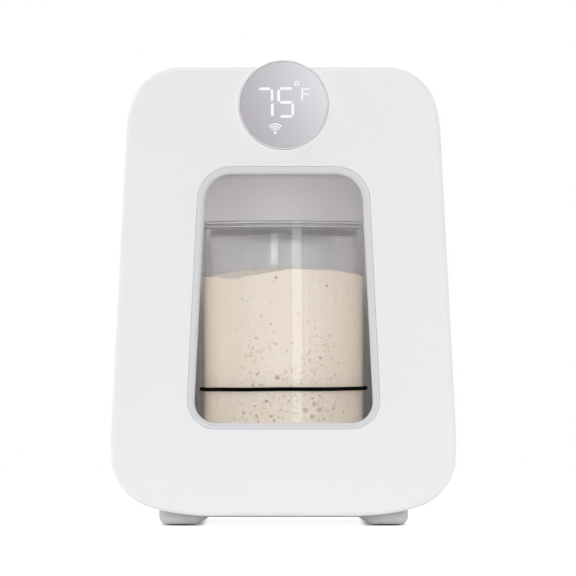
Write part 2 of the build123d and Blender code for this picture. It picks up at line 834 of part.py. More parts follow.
with BuildPart() as rear_cover:
    with BuildSketch(upright(rear_y)):
        add(panel_outline(shell_inset))
    extrude(amount=cover_depth)
    fillet(rear_cover.faces().sort_by(Axis.Y)[-1].edges(), cover_edge_radius)
    add(cover_hollow.part, mode=Mode.SUBTRACT)
    with BuildSketch(upright(split_y)):
        add(panel_outline(shell_inset + shell_wall + fit_gap))
        add(panel_outline(shell_inset + shell_wall + cover_lip_wall), mode=Mode.SUBTRACT)
        for x, z in cover_posts:
            with Locations((x * (1 + cover_post_inset / 2 / abs(x)), z)):
                Rectangle(cover_post_inset, cover_rib_thickness + 2 * cut_margin, mode=Mode.SUBTRACT)
    extrude(amount=cover_lip_depth)
    with BuildSketch(upright(split_y + cover_lip_depth)):
        add(panel_outline(shell_inset + shell_wall - boss_root / 2))
        add(panel_outline(shell_inset + shell_wall + cover_lip_wall), mode=Mode.SUBTRACT)
    extrude(amount=cover_lip_depth)
    with BuildSketch(upright(cover_inside_y + boss_root)):
        with Locations(*cover_posts):
            Circle(boss_radius)
    extrude(amount=cover_inside_y + boss_root - split_y)
    with BuildSketch(upright(cover_inside_y + fan_screw_bite)):
        with Locations(*fan_holes):
            Circle(screw_radius)
    extrude(amount=fan_screw_bite, mode=Mode.SUBTRACT)
    with BuildSketch(upright(rear_y)):
        with Locations(*cover_posts):
            Circle(screw_hole_radius)
    extrude(amount=cover_depth, mode=Mode.SUBTRACT)
    with BuildSketch(upright(rear_y)):
        with Locations(*cover_posts):
            Circle(screw_head_radius + screw_head_gap)
    extrude(amount=cover_depth - cover_post_floor, mode=Mode.SUBTRACT)
    with BuildSketch(upright(rear_y)):
        for row in range(-grille_row_count + 1, grille_row_count):
            with Locations((0, fan_z + row * grille_pitch)):
                SlotOverall(2 * sqrt(grille_radius**2 - (row * grille_pitch) ** 2), grille_slot)
        with Locations((0, fan_z + vent_offset), (0, fan_z - vent_offset)):
            with GridLocations(vent_pitch, 1, vent_count, 1):
                SlotOverall(vent_height, vent_width, rotation=90)
        with Locations((inlet_x, inlet_z)):
            Circle(inlet_nose_radius + slide_gap)
    extrude(amount=2 * shell_wall, mode=Mode.SUBTRACT)
rear_cover.part.label = "rear_cover"
pieces.append(rear_cover)

well_bottom_y = split_y + cover_post_floor
with BuildPart() as cover_screws:
    with BuildSketch(upright(well_bottom_y)):
        with Locations(*cover_posts):
            Circle(screw_radius)
    extrude(amount=cover_screw_bite)
    with BuildSketch(upright(well_bottom_y + screw_head_height)):
        with Locations(*cover_posts):
            Circle(screw_head_radius)
    extrude(amount=screw_head_height)
cover_screws.part.label = "cover_screws"
pieces.append(cover_screws)

with BuildPart() as power_inlet:
    with BuildSketch(upright(cover_inside_y)):
        with Locations((inlet_x, inlet_z)):
            RectangleRounded(inlet_body_width, inlet_body_width, inlet_pin_radius)
    extrude(amount=inlet_body_depth)
    with BuildSketch(upright(rear_y - inlet_recess)):
        with Locations((inlet_x, inlet_z)):
            Circle(inlet_nose_radius)
    extrude(amount=shell_wall)
    with BuildSketch(upright(rear_y - inlet_recess)):
        with Locations((inlet_x, inlet_z)):
            Circle(inlet_bore_radius)
            Circle(inlet_pin_radius, mode=Mode.SUBTRACT)
    extrude(amount=inlet_bore_depth, mode=Mode.SUBTRACT)
power_inlet.part.label = "power_inlet"
pieces.append(power_inlet)

# Main board on the bulkhead's standoffs, with its tall parts
with BuildPart() as main_board:
    board_y = bulkhead_back_y + board_standoff + board_thickness
    with BuildSketch(upright(board_y)):
        with Locations((0, board_z)):
            Rectangle(board_width, board_height)
    extrude(amount=board_thickness)
    with BuildSketch(upright(board_y + capacitor_height)):
        with Locations(*[(x, board_z + z) for x, z in capacitor_places]):
            Circle(capacitor_radius)
    extrude(amount=capacitor_height)
    with BuildSketch(upright(board_y + chip_height)):
        for (x, z), size in chip_sizes:
            with Locations((x, board_z + z)):
                Rectangle(*size)
        with Locations(*[(x, board_z + z) for x, z in relay_places]):
            Rectangle(*relay_size)
    extrude(amount=chip_height)
main_board.part.label = "main_board"
pieces.append(main_board)

# Plinth: one moulding with two runner feet, shaped to the body's underside
with BuildPart() as base_plinth:
    with BuildSketch(upright(plinth_back_y)):
        with BuildLine():
            right = [
                (plinth_half, plinth_top_z),
                (plinth_half, foot_z),
                (foot_inner_half, foot_z),
                (foot_slope_half, plinth_underside_z),
            ]
            left = [(-x, z) for x, z in reversed(right)]
            radii = [0, foot_edge_radius, foot_slope_radius, foot_slope_radius]
            FilletPolyline(*right, *left, radius=radii + radii[::-1], close=True)
        make_face()
    extrude(amount=plinth_back_y - plinth_front_y)
    corner_posts = base_plinth.edges().filter_by(Axis.Z)
    fillet(corner_posts, foot_edge_radius)
    with BuildSketch(upright(plinth_back_y)):
        add(panel_outline(shell_inset))
    extrude(amount=plinth_back_y - plinth_front_y, mode=Mode.SUBTRACT)
    with BuildSketch(level(foot_z)):
        with Locations(*pad_places):
            Circle(pad_radius + slide_gap)
    extrude(amount=pad_recess, mode=Mode.SUBTRACT)
    with Locations(*[Location((x, y, plinth_underside_z), (180, 0, 0)) for x, y in plinth_screws]):
        CounterSinkHole(screw_hole_radius, screw_head_radius + slide_gap, shell_floor_z)
base_plinth.part.label = "base_plinth"
pieces.append(base_plinth)

with BuildPart() as rubber_feet:
    with BuildSketch(level(0)):
        with Locations(*pad_places):
            Circle(pad_radius)
    extrude(amount=foot_z + pad_recess)
    chamfer(rubber_feet.faces().group_by(Axis.Z)[0].edges(), pad_chamfer)
rubber_feet.part.label = "rubber_feet"
pieces.append(rubber_feet)

with BuildPart() as plinth_screw_set:
    cone_height = screw_head_radius - screw_radius
    with BuildSketch(level(plinth_underside_z)):
        with Locations(*plinth_screws):
            Circle(screw_head_radius)
    extrude(amount=cone_height, taper=45)
    with BuildSketch(level(plinth_underside_z)):
        with Locations(*plinth_screws):
            Circle(screw_radius)
    extrude(amount=plinth_screw_bite)
plinth_screw_set.part.label = "plinth_screws"
pieces.append(plinth_screw_set)

# Hinge: clevis brackets behind the frame, pins, and arms that reach out to the door
with BuildPart() as hinge_brackets:
    for z in hinge_heights:
        with BuildSketch(level(z - cheek_top)):
            with Locations((hinge_x, hinge_y)):
                Circle(hinge_cheek_radius)
            with Locations((hinge_x - hinge_cheek_radius, hinge_y)):
                Rectangle(
                    web_x + hinge_web - hinge_x + hinge_cheek_radius,
                    web_y + hinge_web - hinge_y,
                    align=(Align.MIN, Align.MIN),
                )
            with Locations((web_x, frame_back_y)):
                Rectangle(hinge_web, web_y - frame_back_y, align=(Align.MIN, Align.MIN))
        extrude(amount=2 * cheek_top)
        with BuildSketch(level(z - arm_half - hinge_slot_gap)):
            with Locations((web_x, web_y)):
                Rectangle(hinge_reach, hinge_reach, align=(Align.MAX, Align.MAX))
        extrude(amount=2 * (arm_half + hinge_slot_gap), mode=Mode.SUBTRACT)
        with BuildSketch(upright(frame_back_y + hinge_ear_thickness)):
            with Locations((web_x, z)):
                Rectangle(hinge_web + hinge_ear_width, 2 * ear_half, align=(Align.MIN, Align.CENTER))
            with Locations((ear_x, z)):
                with GridLocations(1, ear_half, 1, 2):
                    Circle(screw_hole_radius, mode=Mode.SUBTRACT)
        extrude(amount=hinge_ear_thickness)
        with BuildSketch(level(z - cheek_top)):
            with Locations((hinge_x, hinge_y)):
                Circle(hinge_pin_radius)
        extrude(amount=2 * cheek_top, mode=Mode.SUBTRACT)
hinge_brackets.part.label = "hinge_brackets"
pieces.append(hinge_brackets)

with BuildPart() as hinge_pins:
    for z in hinge_heights:
        with BuildSketch(level(z - cheek_top)):
            with Locations((hinge_x, hinge_y)):
                Circle(hinge_pin_radius)
        extrude(amount=2 * cheek_top)
        with BuildSketch(level(z + cheek_top)):
            with Locations((hinge_x, hinge_y)):
                Circle(hinge_pin_head_radius)
        extrude(amount=hinge_pin_head_height)
hinge_pins.part.label = "hinge_pins"
pieces.append(hinge_pins)

with BuildPart() as hinge_arms:
    for z in hinge_heights:
        with BuildSketch(level(z - arm_half)):
            with Locations((hinge_x, hinge_y)):
                Circle(hinge_eye_radius)
            with Locations((hinge_x, hinge_y)):
                Rectangle(hinge_neck_width, hinge_y - door_back_y, align=(Align.CENTER, Align.MAX))
            with Locations((hinge_x, hinge_y)):
                Circle(hinge_pin_radius + shaft_gap, mode=Mode.SUBTRACT)
        extrude(amount=hinge_arm_height)
        with BuildSketch(upright(door_back_y)):
            with Locations((foot_x, z)):
                RectangleRounded(hinge_foot_width, hinge_foot_height, hinge_foot_radius)
        extrude(amount=hinge_foot_thickness)
hinge_arms.part.label = "hinge_arms"
pieces.append(hinge_arms)

with BuildPart() as hinge_screws:
    for z in hinge_heights:
        with BuildSketch(upright(frame_back_y + hinge_ear_thickness)):
            with Locations((ear_x, z)):
                with GridLocations(1, ear_half, 1, 2):
                    Circle(screw_radius)
        extrude(amount=hinge_ear_thickness)
        with BuildSketch(upright(frame_back_y + hinge_ear_thickness + low_head_height)):
            with Locations((ear_x, z)):
                with GridLocations(1, ear_half, 1, 2):
                    Circle(screw_head_radius)
        extrude(amount=low_head_height)
hinge_screws.part.label = "hinge_screws"
pieces.append(hinge_screws)

# Door shell: the front panel, with the window's collar, screw bosses and ribs behind its face
notch_radius = dial_radius + dial_notch_gap
with BuildPart() as door_hollow:
    with BuildSketch(upright(door_back_y)):
        add(panel_outline(door_wall))
    extrude(amount=door_thickness - door_skin)

with BuildPart() as door_inside:
    with BuildSketch(upright(door_liner_y)):
        add(window_outline(-fit_gap - window_collar_wall))
        with Locations((0, dial_z)):
            Circle(notch_radius + door_wall)
        with Locations(*door_screws):
            Circle(boss_radius)
    extrude(amount=door_liner_y - panel_front_y - cut_margin)
    with BuildSketch(upright(panel_front_y + door_skin + rib_depth)):
        with Locations(*[(0, z) for z in rib_heights]):
            Rectangle(2 * (panel_half(rib_heights[0]) - door_skin), rib_thickness)
        with Locations((0, panel_bottom_z + (window_bottom_z - panel_bottom_z) / 2)):
            Rectangle(rib_thickness, window_bottom_z - panel_bottom_z - 2 * door_skin)
    extrude(amount=rib_depth + cut_margin)
    with BuildSketch(upright(door_back_y)):
        add(panel_outline(door_wall - boss_root))
    extrude(amount=door_thickness, mode=Mode.INTERSECT)

with BuildPart() as door_shell:
    with BuildSketch(upright(door_back_y)):
        add(panel_outline())
    extrude(amount=door_thickness)
    fillet(door_shell.faces().sort_by(Axis.Y)[0].edges(), door_front_radius)
    fillet(door_shell.faces().sort_by(Axis.Y)[-1].edges(), door_back_radius)
    add(door_hollow.part, mode=Mode.SUBTRACT)
    add(door_inside.part)
    with BuildSketch(upright(door_back_y)):
        add(window_outline(-fit_gap))
        with Locations((0, dial_z)):
            Circle(notch_radius)
    extrude(amount=door_thickness, mode=Mode.SUBTRACT)
    with BuildSketch(upright(door_liner_y)):
        with Locations(*door_screws):
            Circle(screw_radius)
    extrude(amount=door_boss_bore, mode=Mode.SUBTRACT)
door_shell.part.label = "door_shell"
pieces.append(door_shell)

# Door liner: the inner panel, with seats for the gasket, magnets and hinge feet
with BuildPart() as door_liner:
    with BuildSketch(upright(door_back_y)):
        add(panel_outline(door_wall + fit_gap))
        add(window_outline(pane_ledge), mode=Mode.SUBTRACT)
        with Locations((0, dial_z)):
            Circle(notch_radius, mode=Mode.SUBTRACT)
    extrude(amount=door_liner_thickness)
    with BuildSketch(upright(door_back_y)):
        add(mouth_outline(gasket_offset + gasket_width / 2 + gasket_tongue_width / 2 + slide_gap))
        add(
            mouth_outline(gasket_offset + gasket_width / 2 - gasket_tongue_width / 2 - slide_gap),
            mode=Mode.SUBTRACT,
        )
    extrude(amount=gasket_tongue_depth + slide_gap, mode=Mode.SUBTRACT)
    with BuildSketch(upright(door_back_y)):
        with Locations(*magnet_places):
            Circle(magnet_radius + slide_gap)
        with Locations(*[(foot_x, z) for z in hinge_heights]):
            RectangleRounded(
                hinge_foot_width + 2 * fit_gap,
                hinge_foot_height + 2 * fit_gap,
                hinge_foot_radius + fit_gap,
            )
    extrude(amount=magnet_thickness, mode=Mode.SUBTRACT)
    with Locations(*[Location((x, door_back_y, z), (-90, 0, 0)) for x, z in door_screws]):
        CounterSinkHole(screw_hole_radius, screw_head_radius + slide_gap, door_liner_thickness)
door_liner.part.label = "door_liner"
pieces.append(door_liner)

with BuildPart() as door_screw_set:
    with BuildSketch(upright(door_back_y)):
        with Locations(*door_screws):
            Circle(screw_head_radius)
    extrude(amount=screw_head_radius - screw_radius, taper=45)
    with BuildSketch(upright(door_back_y)):
        with Locations(*door_screws):
            Circle(screw_radius)
    extrude(amount=door_liner_thickness + door_screw_bite)
door_screw_set.part.label = "door_screws"
pieces.append(door_screw_set)

with BuildPart() as door_magnets:
    with BuildSketch(upright(door_back_y)):
        with Locations(*magnet_places):
            Circle(magnet_radius)
    extrude(amount=magnet_thickness)
door_magnets.part.label = "door_magnets"
pieces.append(door_magnets)

with BuildPart() as door_gasket:
    with BuildSketch(upright(body_front_y - gasket_squeeze_gap)):
        add(mouth_outline(gasket_offset + gasket_width))
        add(mouth_outline(gasket_offset), mode=Mode.SUBTRACT)
    extrude(amount=door_gap - gasket_squeeze_gap)
    with BuildSketch(upright(door_back_y)):
        add(mouth_outline(gasket_offset + gasket_width / 2 + gasket_tongue_width / 2))
        add(
            mouth_outline(gasket_offset + gasket_width / 2 - gasket_tongue_width / 2),
            mode=Mode.SUBTRACT,
        )
    extrude(amount=gasket_tongue_depth)
door_gasket.part.label = "door_gasket"
pieces.append(door_gasket)

# Window: stepped trim ring with a skirt round the outer pane, and the inner pane on the liner
trim_front_y = panel_front_y - trim_proud
pane_y = trim_front_y + trim_depth
with BuildPart() as window_trim:
    with BuildSketch(upright(pane_y)):
        add(window_outline())
        add(window_outline(trim_width, trim_sill_width), mode=Mode.SUBTRACT)
    extrude(amount=trim_depth)
    trim_face = window_trim.faces().sort_by(Axis.Y)[0]
    chamfer(trim_face.inner_wires()[0].edges(), trim_bevel)
    fillet(window_trim.faces().sort_by(Axis.Y)[0].outer_wire().edges(), trim_edge_radius)
    with BuildSketch(upright(trim_front_y + trim_groove_depth)):
        add(window_outline(trim_groove_inset))
        add(window_outline(trim_groove_inset + trim_groove_width), mode=Mode.SUBTRACT)
    extrude(amount=trim_groove_depth, mode=Mode.SUBTRACT)
    with BuildSketch(upright(pane_y + trim_skirt_depth)):
        add(window_outline())
        add(window_outline(trim_skirt_wall), mode=Mode.SUBTRACT)
    extrude(amount=trim_skirt_depth)
window_trim.part.label = "window_trim"
pieces.append(window_trim)

with BuildPart() as outer_pane:
    with BuildSketch(upright(pane_y + pane_thickness)):
        add(window_outline(trim_skirt_wall + fit_gap))
    extrude(amount=pane_thickness)
outer_pane.part.label = "outer_pane"
pieces.append(outer_pane)

with BuildPart() as inner_pane:
    with BuildSketch(upright(door_liner_y)):
        add(window_outline(fit_gap))
    extrude(amount=pane_thickness)
inner_pane.part.label = "inner_pane"
pieces.append(inner_pane)

# Dial: ring, lens, carrier that presses in, display, screw, spring, pod and pod cover
lens_y = dial_front_y + lens_recess
hub_y = lens_y + lens_thickness
flange_y = hub_y + carrier_hub_depth
ring_back_y = flange_y - slide_gap
flange_back_y = flange_y + carrier_flange_thickness
pod_front_y = flange_back_y + dial_standoff
stem_back_y = pod_front_y + pod_sleeve_depth
screw_cap_y = stem_back_y + stem_cap_thickness
with BuildPart() as dial_ring:
    with BuildSketch(upright(ring_back_y)):
        with Locations((0, dial_z)):
            Circle(dial_radius)
            Circle(carrier_hub_radius + shaft_gap, mode=Mode.SUBTRACT)
    extrude(amount=ring_back_y - dial_front_y)
    with BuildSketch(upright(hub_y + lens_gap)):
        with Locations((0, dial_z)):
            Circle(dial_radius - dial_ring_lip)
    extrude(amount=lens_thickness + lens_recess + lens_gap, mode=Mode.SUBTRACT)
    fillet(dial_ring.edges().filter_by(GeomType.CIRCLE).group_by(Axis.Y)[0], dial_edge_radius)
dial_ring.part.label = "dial_ring"
pieces.append(dial_ring)

with BuildPart() as dial_lens:
    with BuildSketch(upright(hub_y)):
        with Locations((0, dial_z)):
            Circle(dial_radius - dial_ring_lip - lens_gap)
    extrude(amount=lens_thickness)
dial_lens.part.label = "dial_lens"
pieces.append(dial_lens)

with BuildPart() as dial_carrier:
    with BuildSketch(upright(flange_y)):
        with Locations((0, dial_z)):
            Circle(carrier_hub_radius)
    extrude(amount=carrier_hub_depth)
    with BuildSketch(upright(hub_y + carrier_cup_depth)):
        with Locations((0, dial_z)):
            Circle(carrier_hub_radius - carrier_cup_wall)
    extrude(amount=carrier_cup_depth, mode=Mode.SUBTRACT)
    with BuildSketch(upright(flange_back_y)):
        with Locations((0, dial_z)):
            Circle(carrier_flange_radius)
    extrude(amount=carrier_flange_thickness)
    with BuildSketch(upright(stem_back_y)):
        with Locations((0, dial_z)):
            Rectangle(stem_width, stem_width)
    extrude(amount=stem_back_y - flange_back_y)
    with BuildSketch(upright(stem_back_y)):
        with Locations((0, dial_z)):
            Circle(screw_radius)
    extrude(amount=stem_bore_depth, mode=Mode.SUBTRACT)
dial_carrier.part.label = "dial_carrier"
pieces.append(dial_carrier)

with BuildPart() as display_board:
    board_back_y = hub_y + carrier_cup_depth - board_seat
    with BuildSketch(upright(board_back_y)):
        with Locations((0, dial_z)):
            Circle(carrier_hub_radius - carrier_cup_wall - fit_gap)
    extrude(amount=board_thickness)
display_board.part.label = "display_board"
pieces.append(display_board)

with BuildPart() as digit_module:
    with BuildSketch(upright(board_back_y - board_thickness)):
        with Locations((0, dial_z)):
            RectangleRounded(display_width, display_height, display_corner_radius)
    extrude(amount=display_depth)
digit_module.part.label = "digit_module"
pieces.append(digit_module)

with BuildPart() as stem_screw:
    with BuildSketch(upright(screw_cap_y)):
        with Locations((0, dial_z)):
            Circle(stem_sleeve_width / 2 - fit_gap)
    extrude(amount=stem_cap_thickness)
    with BuildSketch(upright(stem_back_y)):
        with Locations((0, dial_z)):
            Circle(screw_radius)
    extrude(amount=stem_bore_depth)
stem_screw.part.label = "stem_screw"
pieces.append(stem_screw)

with BuildPart() as dial_pod:
    with BuildSketch(upright(door_back_y)):
        with Locations((0, dial_z)):
            Circle(dial_radius)
            Circle(dial_radius - pod_wall, mode=Mode.SUBTRACT)
    extrude(amount=door_back_y - pod_front_y)
    with BuildSketch(upright(pod_front_y + pod_floor)):
        with Locations((0, dial_z)):
            Circle(dial_radius)
    extrude(amount=pod_floor)
    with BuildSketch(upright(stem_back_y)):
        with Locations((0, dial_z)):
            RectangleRounded(stem_sleeve_width, stem_sleeve_width, stem_sleeve_radius)
    extrude(amount=pod_sleeve_depth)
    with BuildSketch(upright(stem_back_y)):
        with Locations((0, dial_z)):
            Rectangle(stem_width + 2 * slide_gap, stem_width + 2 * slide_gap)
    extrude(amount=pod_sleeve_depth, mode=Mode.SUBTRACT)
    with BuildSketch(upright(pod_front_y + spring_seat_depth)):
        with Locations((0, dial_z)):
            Circle(spring_radius + spring_seat_depth)
            Circle(spring_radius - spring_seat_depth, mode=Mode.SUBTRACT)
    extrude(amount=spring_seat_depth, mode=Mode.SUBTRACT)
dial_pod.part.label = "dial_pod"
pieces.append(dial_pod)

with BuildPart() as pod_cover:
    with BuildSketch(upright(door_back_y)):
        with Locations((0, dial_z)):
            Circle(dial_radius - pod_wall - slide_gap)
    extrude(amount=pod_cover_thickness)
pod_cover.part.label = "pod_cover"
pieces.append(pod_cover)

with BuildPart() as press_switch:
    with BuildSketch(upright(door_back_y - pod_cover_thickness)):
        with Locations((0, dial_z)):
            Rectangle(switch_width, switch_width)
    extrude(amount=switch_depth)
    with BuildSketch(upright(door_back_y - pod_cover_thickness)):
        with Locations((0, dial_z)):
            Circle(switch_button_radius)
    extrude(amount=door_back_y - pod_cover_thickness - screw_cap_y - dial_travel)
press_switch.part.label = "press_switch"
pieces.append(press_switch)

spring_length = dial_standoff + spring_seat_depth - 2 * (spring_wire_radius + spring_end_gap)
with BuildPart() as dial_spring:
    with BuildLine():
        coil = Helix(
            spring_length / spring_turns,
            spring_length,
            spring_radius,
            center=(0, flange_back_y + spring_wire_radius + spring_end_gap, dial_z),
            direction=(0, 1, 0),
        )
    with BuildSketch(Plane(origin=coil @ 0, z_dir=coil % 0)):
        Circle(spring_wire_radius)
    sweep(path=coil, is_frenet=True)
dial_spring.part.label = "dial_spring"
pieces.append(dial_spring)

# Jar: thick cylinder of glass, with its contents, level band, lid and seal
jar_axis = Axis((0, jar_y, 0), (0, 0, 1))
jar_plane = Plane(origin=(0, jar_y, 0), x_dir=(1, 0, 0), z_dir=(0, -1, 0))
inner_radius = jar_radius - jar_wall
inside_floor_z = chamber_floor_z + jar_base
with BuildPart() as jar:
    with BuildSketch(jar_plane):
        with BuildLine():
            FilletPolyline(
                (0, chamber_floor_z),
                (jar_radius, chamber_floor_z),
                (jar_radius, jar_rim_z),
                (inner_radius, jar_rim_z),
                (inner_radius, inside_floor_z),
                (0, inside_floor_z),
                radius=[jar_heel_radius, jar_rim_radius, jar_rim_radius, jar_inner_radius],
            )
            Line((0, inside_floor_z), (0, chamber_floor_z))
        make_face()
    revolve(axis=jar_axis)
jar.part.label = "jar"
pieces.append(jar)

starter_radius = inner_radius - starter_gap
with BuildPart() as starter:
    with BuildSketch(jar_plane):
        with BuildLine():
            FilletPolyline(
                (0, starter_z),
                (0, inside_floor_z + starter_gap),
                (starter_radius, inside_floor_z + starter_gap),
                (starter_radius, starter_z - starter_edge_drop),
                radius=[0, jar_inner_radius],
            )
            Spline(
                (starter_radius, starter_z - starter_edge_drop),
                (starter_radius * starter_shoulder_share, starter_z - starter_shoulder_drop),
                (starter_radius * starter_middle_share, starter_z - starter_middle_drop),
                (0, starter_z),
            )
        make_face()
    revolve(axis=jar_axis)
starter.part.label = "starter"
pieces.append(starter)

band_plane = Plane(
    origin=(0, jar_y, band_z),
    x_dir=(cos(radians(band_tilt)), 0, sin(radians(band_tilt))),
    z_dir=(-sin(radians(band_tilt)), 0, cos(radians(band_tilt))),
)
with BuildPart(band_plane) as level_band:
    Torus(jar_radius + band_radius + band_gap, band_radius)
level_band.part.label = "level_band"
pieces.append(level_band)

seal_low_z = jar_rim_z - seal_height
with BuildPart() as jar_lid:
    with BuildSketch(level(jar_rim_z)):
        with Locations((0, jar_y)):
            Circle(jar_radius - lid_inset)
    extrude(amount=lid_thickness)
    fillet(jar_lid.edges().filter_by(GeomType.CIRCLE), lid_edge_radius)
    with BuildSketch(level(seal_low_z)):
        with Locations((0, jar_y)):
            Circle(lid_plug_radius)
    extrude(amount=seal_height + boss_root)
jar_lid.part.label = "jar_lid"
pieces.append(jar_lid)

with BuildPart() as lid_seal:
    with BuildSketch(level(seal_low_z)):
        with Locations((0, jar_y)):
            Circle(inner_radius - seal_gap)
            Circle(lid_plug_radius + shaft_gap, mode=Mode.SUBTRACT)
    extrude(amount=seal_height - slide_gap)
    with BuildSketch(level(seal_low_z + seal_height / 2 - seal_lip)):
        with Locations((0, jar_y)):
            Circle(inner_radius)
            Circle(inner_radius - seal_gap - seal_lip, mode=Mode.SUBTRACT)
    extrude(amount=2 * seal_lip, mode=Mode.SUBTRACT)
lid_seal.part.label = "lid_seal"
pieces.append(lid_seal)

for piece in pieces:
    export_step(piece.part, f"parts/{piece.part.label}.step")
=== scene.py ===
"""Looks of the starter warmer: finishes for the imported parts, and the pieces with finer shapes.

Metres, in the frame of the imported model: +Z up, the front faces -Y, the floor is at Z = 0.
"""

import math
import random

import bpy
import numpy as np
from mathutils import Matrix, Vector, noise
from mathutils.geometry import tessellate_polygon


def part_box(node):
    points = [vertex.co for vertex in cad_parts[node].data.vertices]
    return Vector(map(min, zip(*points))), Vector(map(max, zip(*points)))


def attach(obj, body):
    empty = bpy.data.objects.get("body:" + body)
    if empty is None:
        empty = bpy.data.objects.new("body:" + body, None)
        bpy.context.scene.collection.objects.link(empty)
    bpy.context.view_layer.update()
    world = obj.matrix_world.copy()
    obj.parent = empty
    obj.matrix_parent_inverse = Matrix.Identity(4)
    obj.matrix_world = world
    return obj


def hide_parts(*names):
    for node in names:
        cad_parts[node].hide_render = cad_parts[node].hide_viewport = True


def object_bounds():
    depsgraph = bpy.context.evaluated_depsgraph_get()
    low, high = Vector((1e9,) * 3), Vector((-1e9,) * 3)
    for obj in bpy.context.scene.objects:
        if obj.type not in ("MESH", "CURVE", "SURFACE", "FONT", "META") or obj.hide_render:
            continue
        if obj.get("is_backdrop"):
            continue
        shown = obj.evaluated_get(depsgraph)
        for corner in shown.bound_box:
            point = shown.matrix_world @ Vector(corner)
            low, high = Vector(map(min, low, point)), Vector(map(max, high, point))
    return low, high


MM = 0.001
SEED = 11
GLASS_IOR = 1.5
# Heights in mm: the dial's centre, and the camera, which looks on the box from the front
DIAL_Z = 263.2
CAMERA_Z = 125.0

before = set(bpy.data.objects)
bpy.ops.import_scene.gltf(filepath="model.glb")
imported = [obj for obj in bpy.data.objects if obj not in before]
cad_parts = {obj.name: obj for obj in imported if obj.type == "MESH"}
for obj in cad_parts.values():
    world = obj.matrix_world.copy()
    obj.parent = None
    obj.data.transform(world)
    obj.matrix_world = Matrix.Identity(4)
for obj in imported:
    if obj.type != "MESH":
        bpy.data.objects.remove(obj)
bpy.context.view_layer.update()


def linear(code):
    """A colour written as sRGB hex, as linear red, green, blue and alpha."""
    made = []
    for start in (0, 2, 4):
        part = int(code[start:start + 2], 16) / 255
        made.append(part / 12.92 if part <= 0.04045 else ((part + 0.055) / 1.055) ** 2.4)
    return (*made, 1.0)


def add(tree, kind, settings=None, links=None):
    """Adds a node. Settings name its options or its input sockets, and links join sockets to them."""
    made = tree.nodes.new(kind)
    for name, value in (settings or {}).items():
        if isinstance(name, int) or name in made.inputs:
            made.inputs[name].default_value = value
        else:
            setattr(made, name, value)
    for name, source in (links or {}).items():
        tree.links.new(source, made.inputs[name])
    return made


def finish(name, **settings):
    """A material with one surface shader, its node tree, and its place in object space."""
    made = bpy.data.materials.new(name)
    made.use_nodes = True
    tree = made.node_tree
    tree.nodes.clear()
    surface = add(tree, "ShaderNodeBsdfPrincipled", {k.replace("_", " "): v for k, v in settings.items()})
    add(tree, "ShaderNodeOutputMaterial", links={"Surface": surface.outputs[0]})
    place = add(tree, "ShaderNodeTexCoord").outputs["Object"]
    return made, tree, surface, place


def let_light_through(tree, surface):
    """Clear glass also passes the light that falls on what is behind it, instead of shading it."""
    rays = add(tree, "ShaderNodeLightPath")
    passing = add(
        tree, "ShaderNodeMath", {"operation": "MAXIMUM"},
        {0: rays.outputs["Is Shadow Ray"], 1: rays.outputs["Is Diffuse Ray"]},
    )
    open_way = add(tree, "ShaderNodeBsdfTransparent", {"Color": linear("FDFDFD")})
    both = add(
        tree, "ShaderNodeMixShader",
        links={0: passing.outputs[0], 1: surface.outputs[0], 2: open_way.outputs[0]},
    )
    tree.links.new(both.outputs[0], tree.nodes["Material Output"].inputs["Surface"])


def per_mm(size_mm):
    """Texture scale at which one pattern step is size_mm wide."""
    return 1.0 / (size_mm * MM)


def vary(tree, surface, place, code, amount, patch_mm):
    """Base colour that drifts a little, in patches of patch_mm, between two depths of one hex colour."""
    drift = add(tree, "ShaderNodeTexNoise", {"Scale": per_mm(patch_mm), "Detail": 3.0}, {"Vector": place})
    base = linear(code)
    deep = tuple(c * (1.0 - amount) for c in base[:3]) + (1.0,)
    mixed = add(
        tree, "ShaderNodeMix", {"data_type": "RGBA", 6: deep, 7: base}, {0: drift.outputs["Fac"]}
    )
    tree.links.new(mixed.outputs[2], surface.inputs["Base Color"])
    return mixed


def grain(tree, surface, place, size_mm, height_mm, detail=2.0):
    """Fine relief in the surface, one grain size_mm wide and height_mm high."""
    relief = add(tree, "ShaderNodeTexNoise", {"Scale": per_mm(size_mm), "Detail": detail}, {"Vector": place})
    bump = add(
        tree, "ShaderNodeBump", {"Strength": 1.0, "Distance": height_mm * MM},
        {"Height": relief.outputs["Fac"]},
    )
    tree.links.new(bump.outputs[0], surface.inputs["Normal"])


def smudge(tree, surface, place, low, high, patch_mm):
    """Roughness that wanders from low to high in patches of patch_mm."""
    patch = add(tree, "ShaderNodeTexNoise", {"Scale": per_mm(patch_mm), "Detail": 4.0}, {"Vector": place})
    span = add(
        tree, "ShaderNodeMapRange", {"From Min": 0.3, "From Max": 0.7, "To Min": low, "To Max": high},
        {"Value": patch.outputs["Fac"]},
    )
    tree.links.new(span.outputs[0], surface.inputs["Roughness"])


# Door: ABS moulded in a polished tool, which gives a smooth satin white with a soft, even sheen
door_abs, tree, surface, place = finish("satin_abs_door", IOR=1.53)
vary(tree, surface, place, "F1F1F1", 0.012, 60)
smudge(tree, surface, place, 0.34, 0.42, 45)
grain(tree, surface, place, 1.4, 0.004)

# Dial ring: the same satin ABS with painted light: a touch whiter, which lifts the shade the ring catches, so
# that it hardly stands out from the door
ring_abs_painted_light, tree, surface, place = finish("satin_abs_ring_painted_light", IOR=1.53)
vary(tree, surface, place, "FAFAFA", 0.01, 20)
smudge(tree, surface, place, 0.34, 0.42, 15)
grain(tree, surface, place, 1.4, 0.004)

# Body and rear cover: ABS with a fine spark-eroded grain, drawn at twice its real size so that it shows
body_abs, tree, surface, place = finish("grained_abs_body", IOR=1.53)
skin = vary(tree, surface, place, "EDEDEF", 0.02, 50)
smudge(tree, surface, place, 0.46, 0.56, 30)
grain(tree, surface, place, 0.7, 0.03)
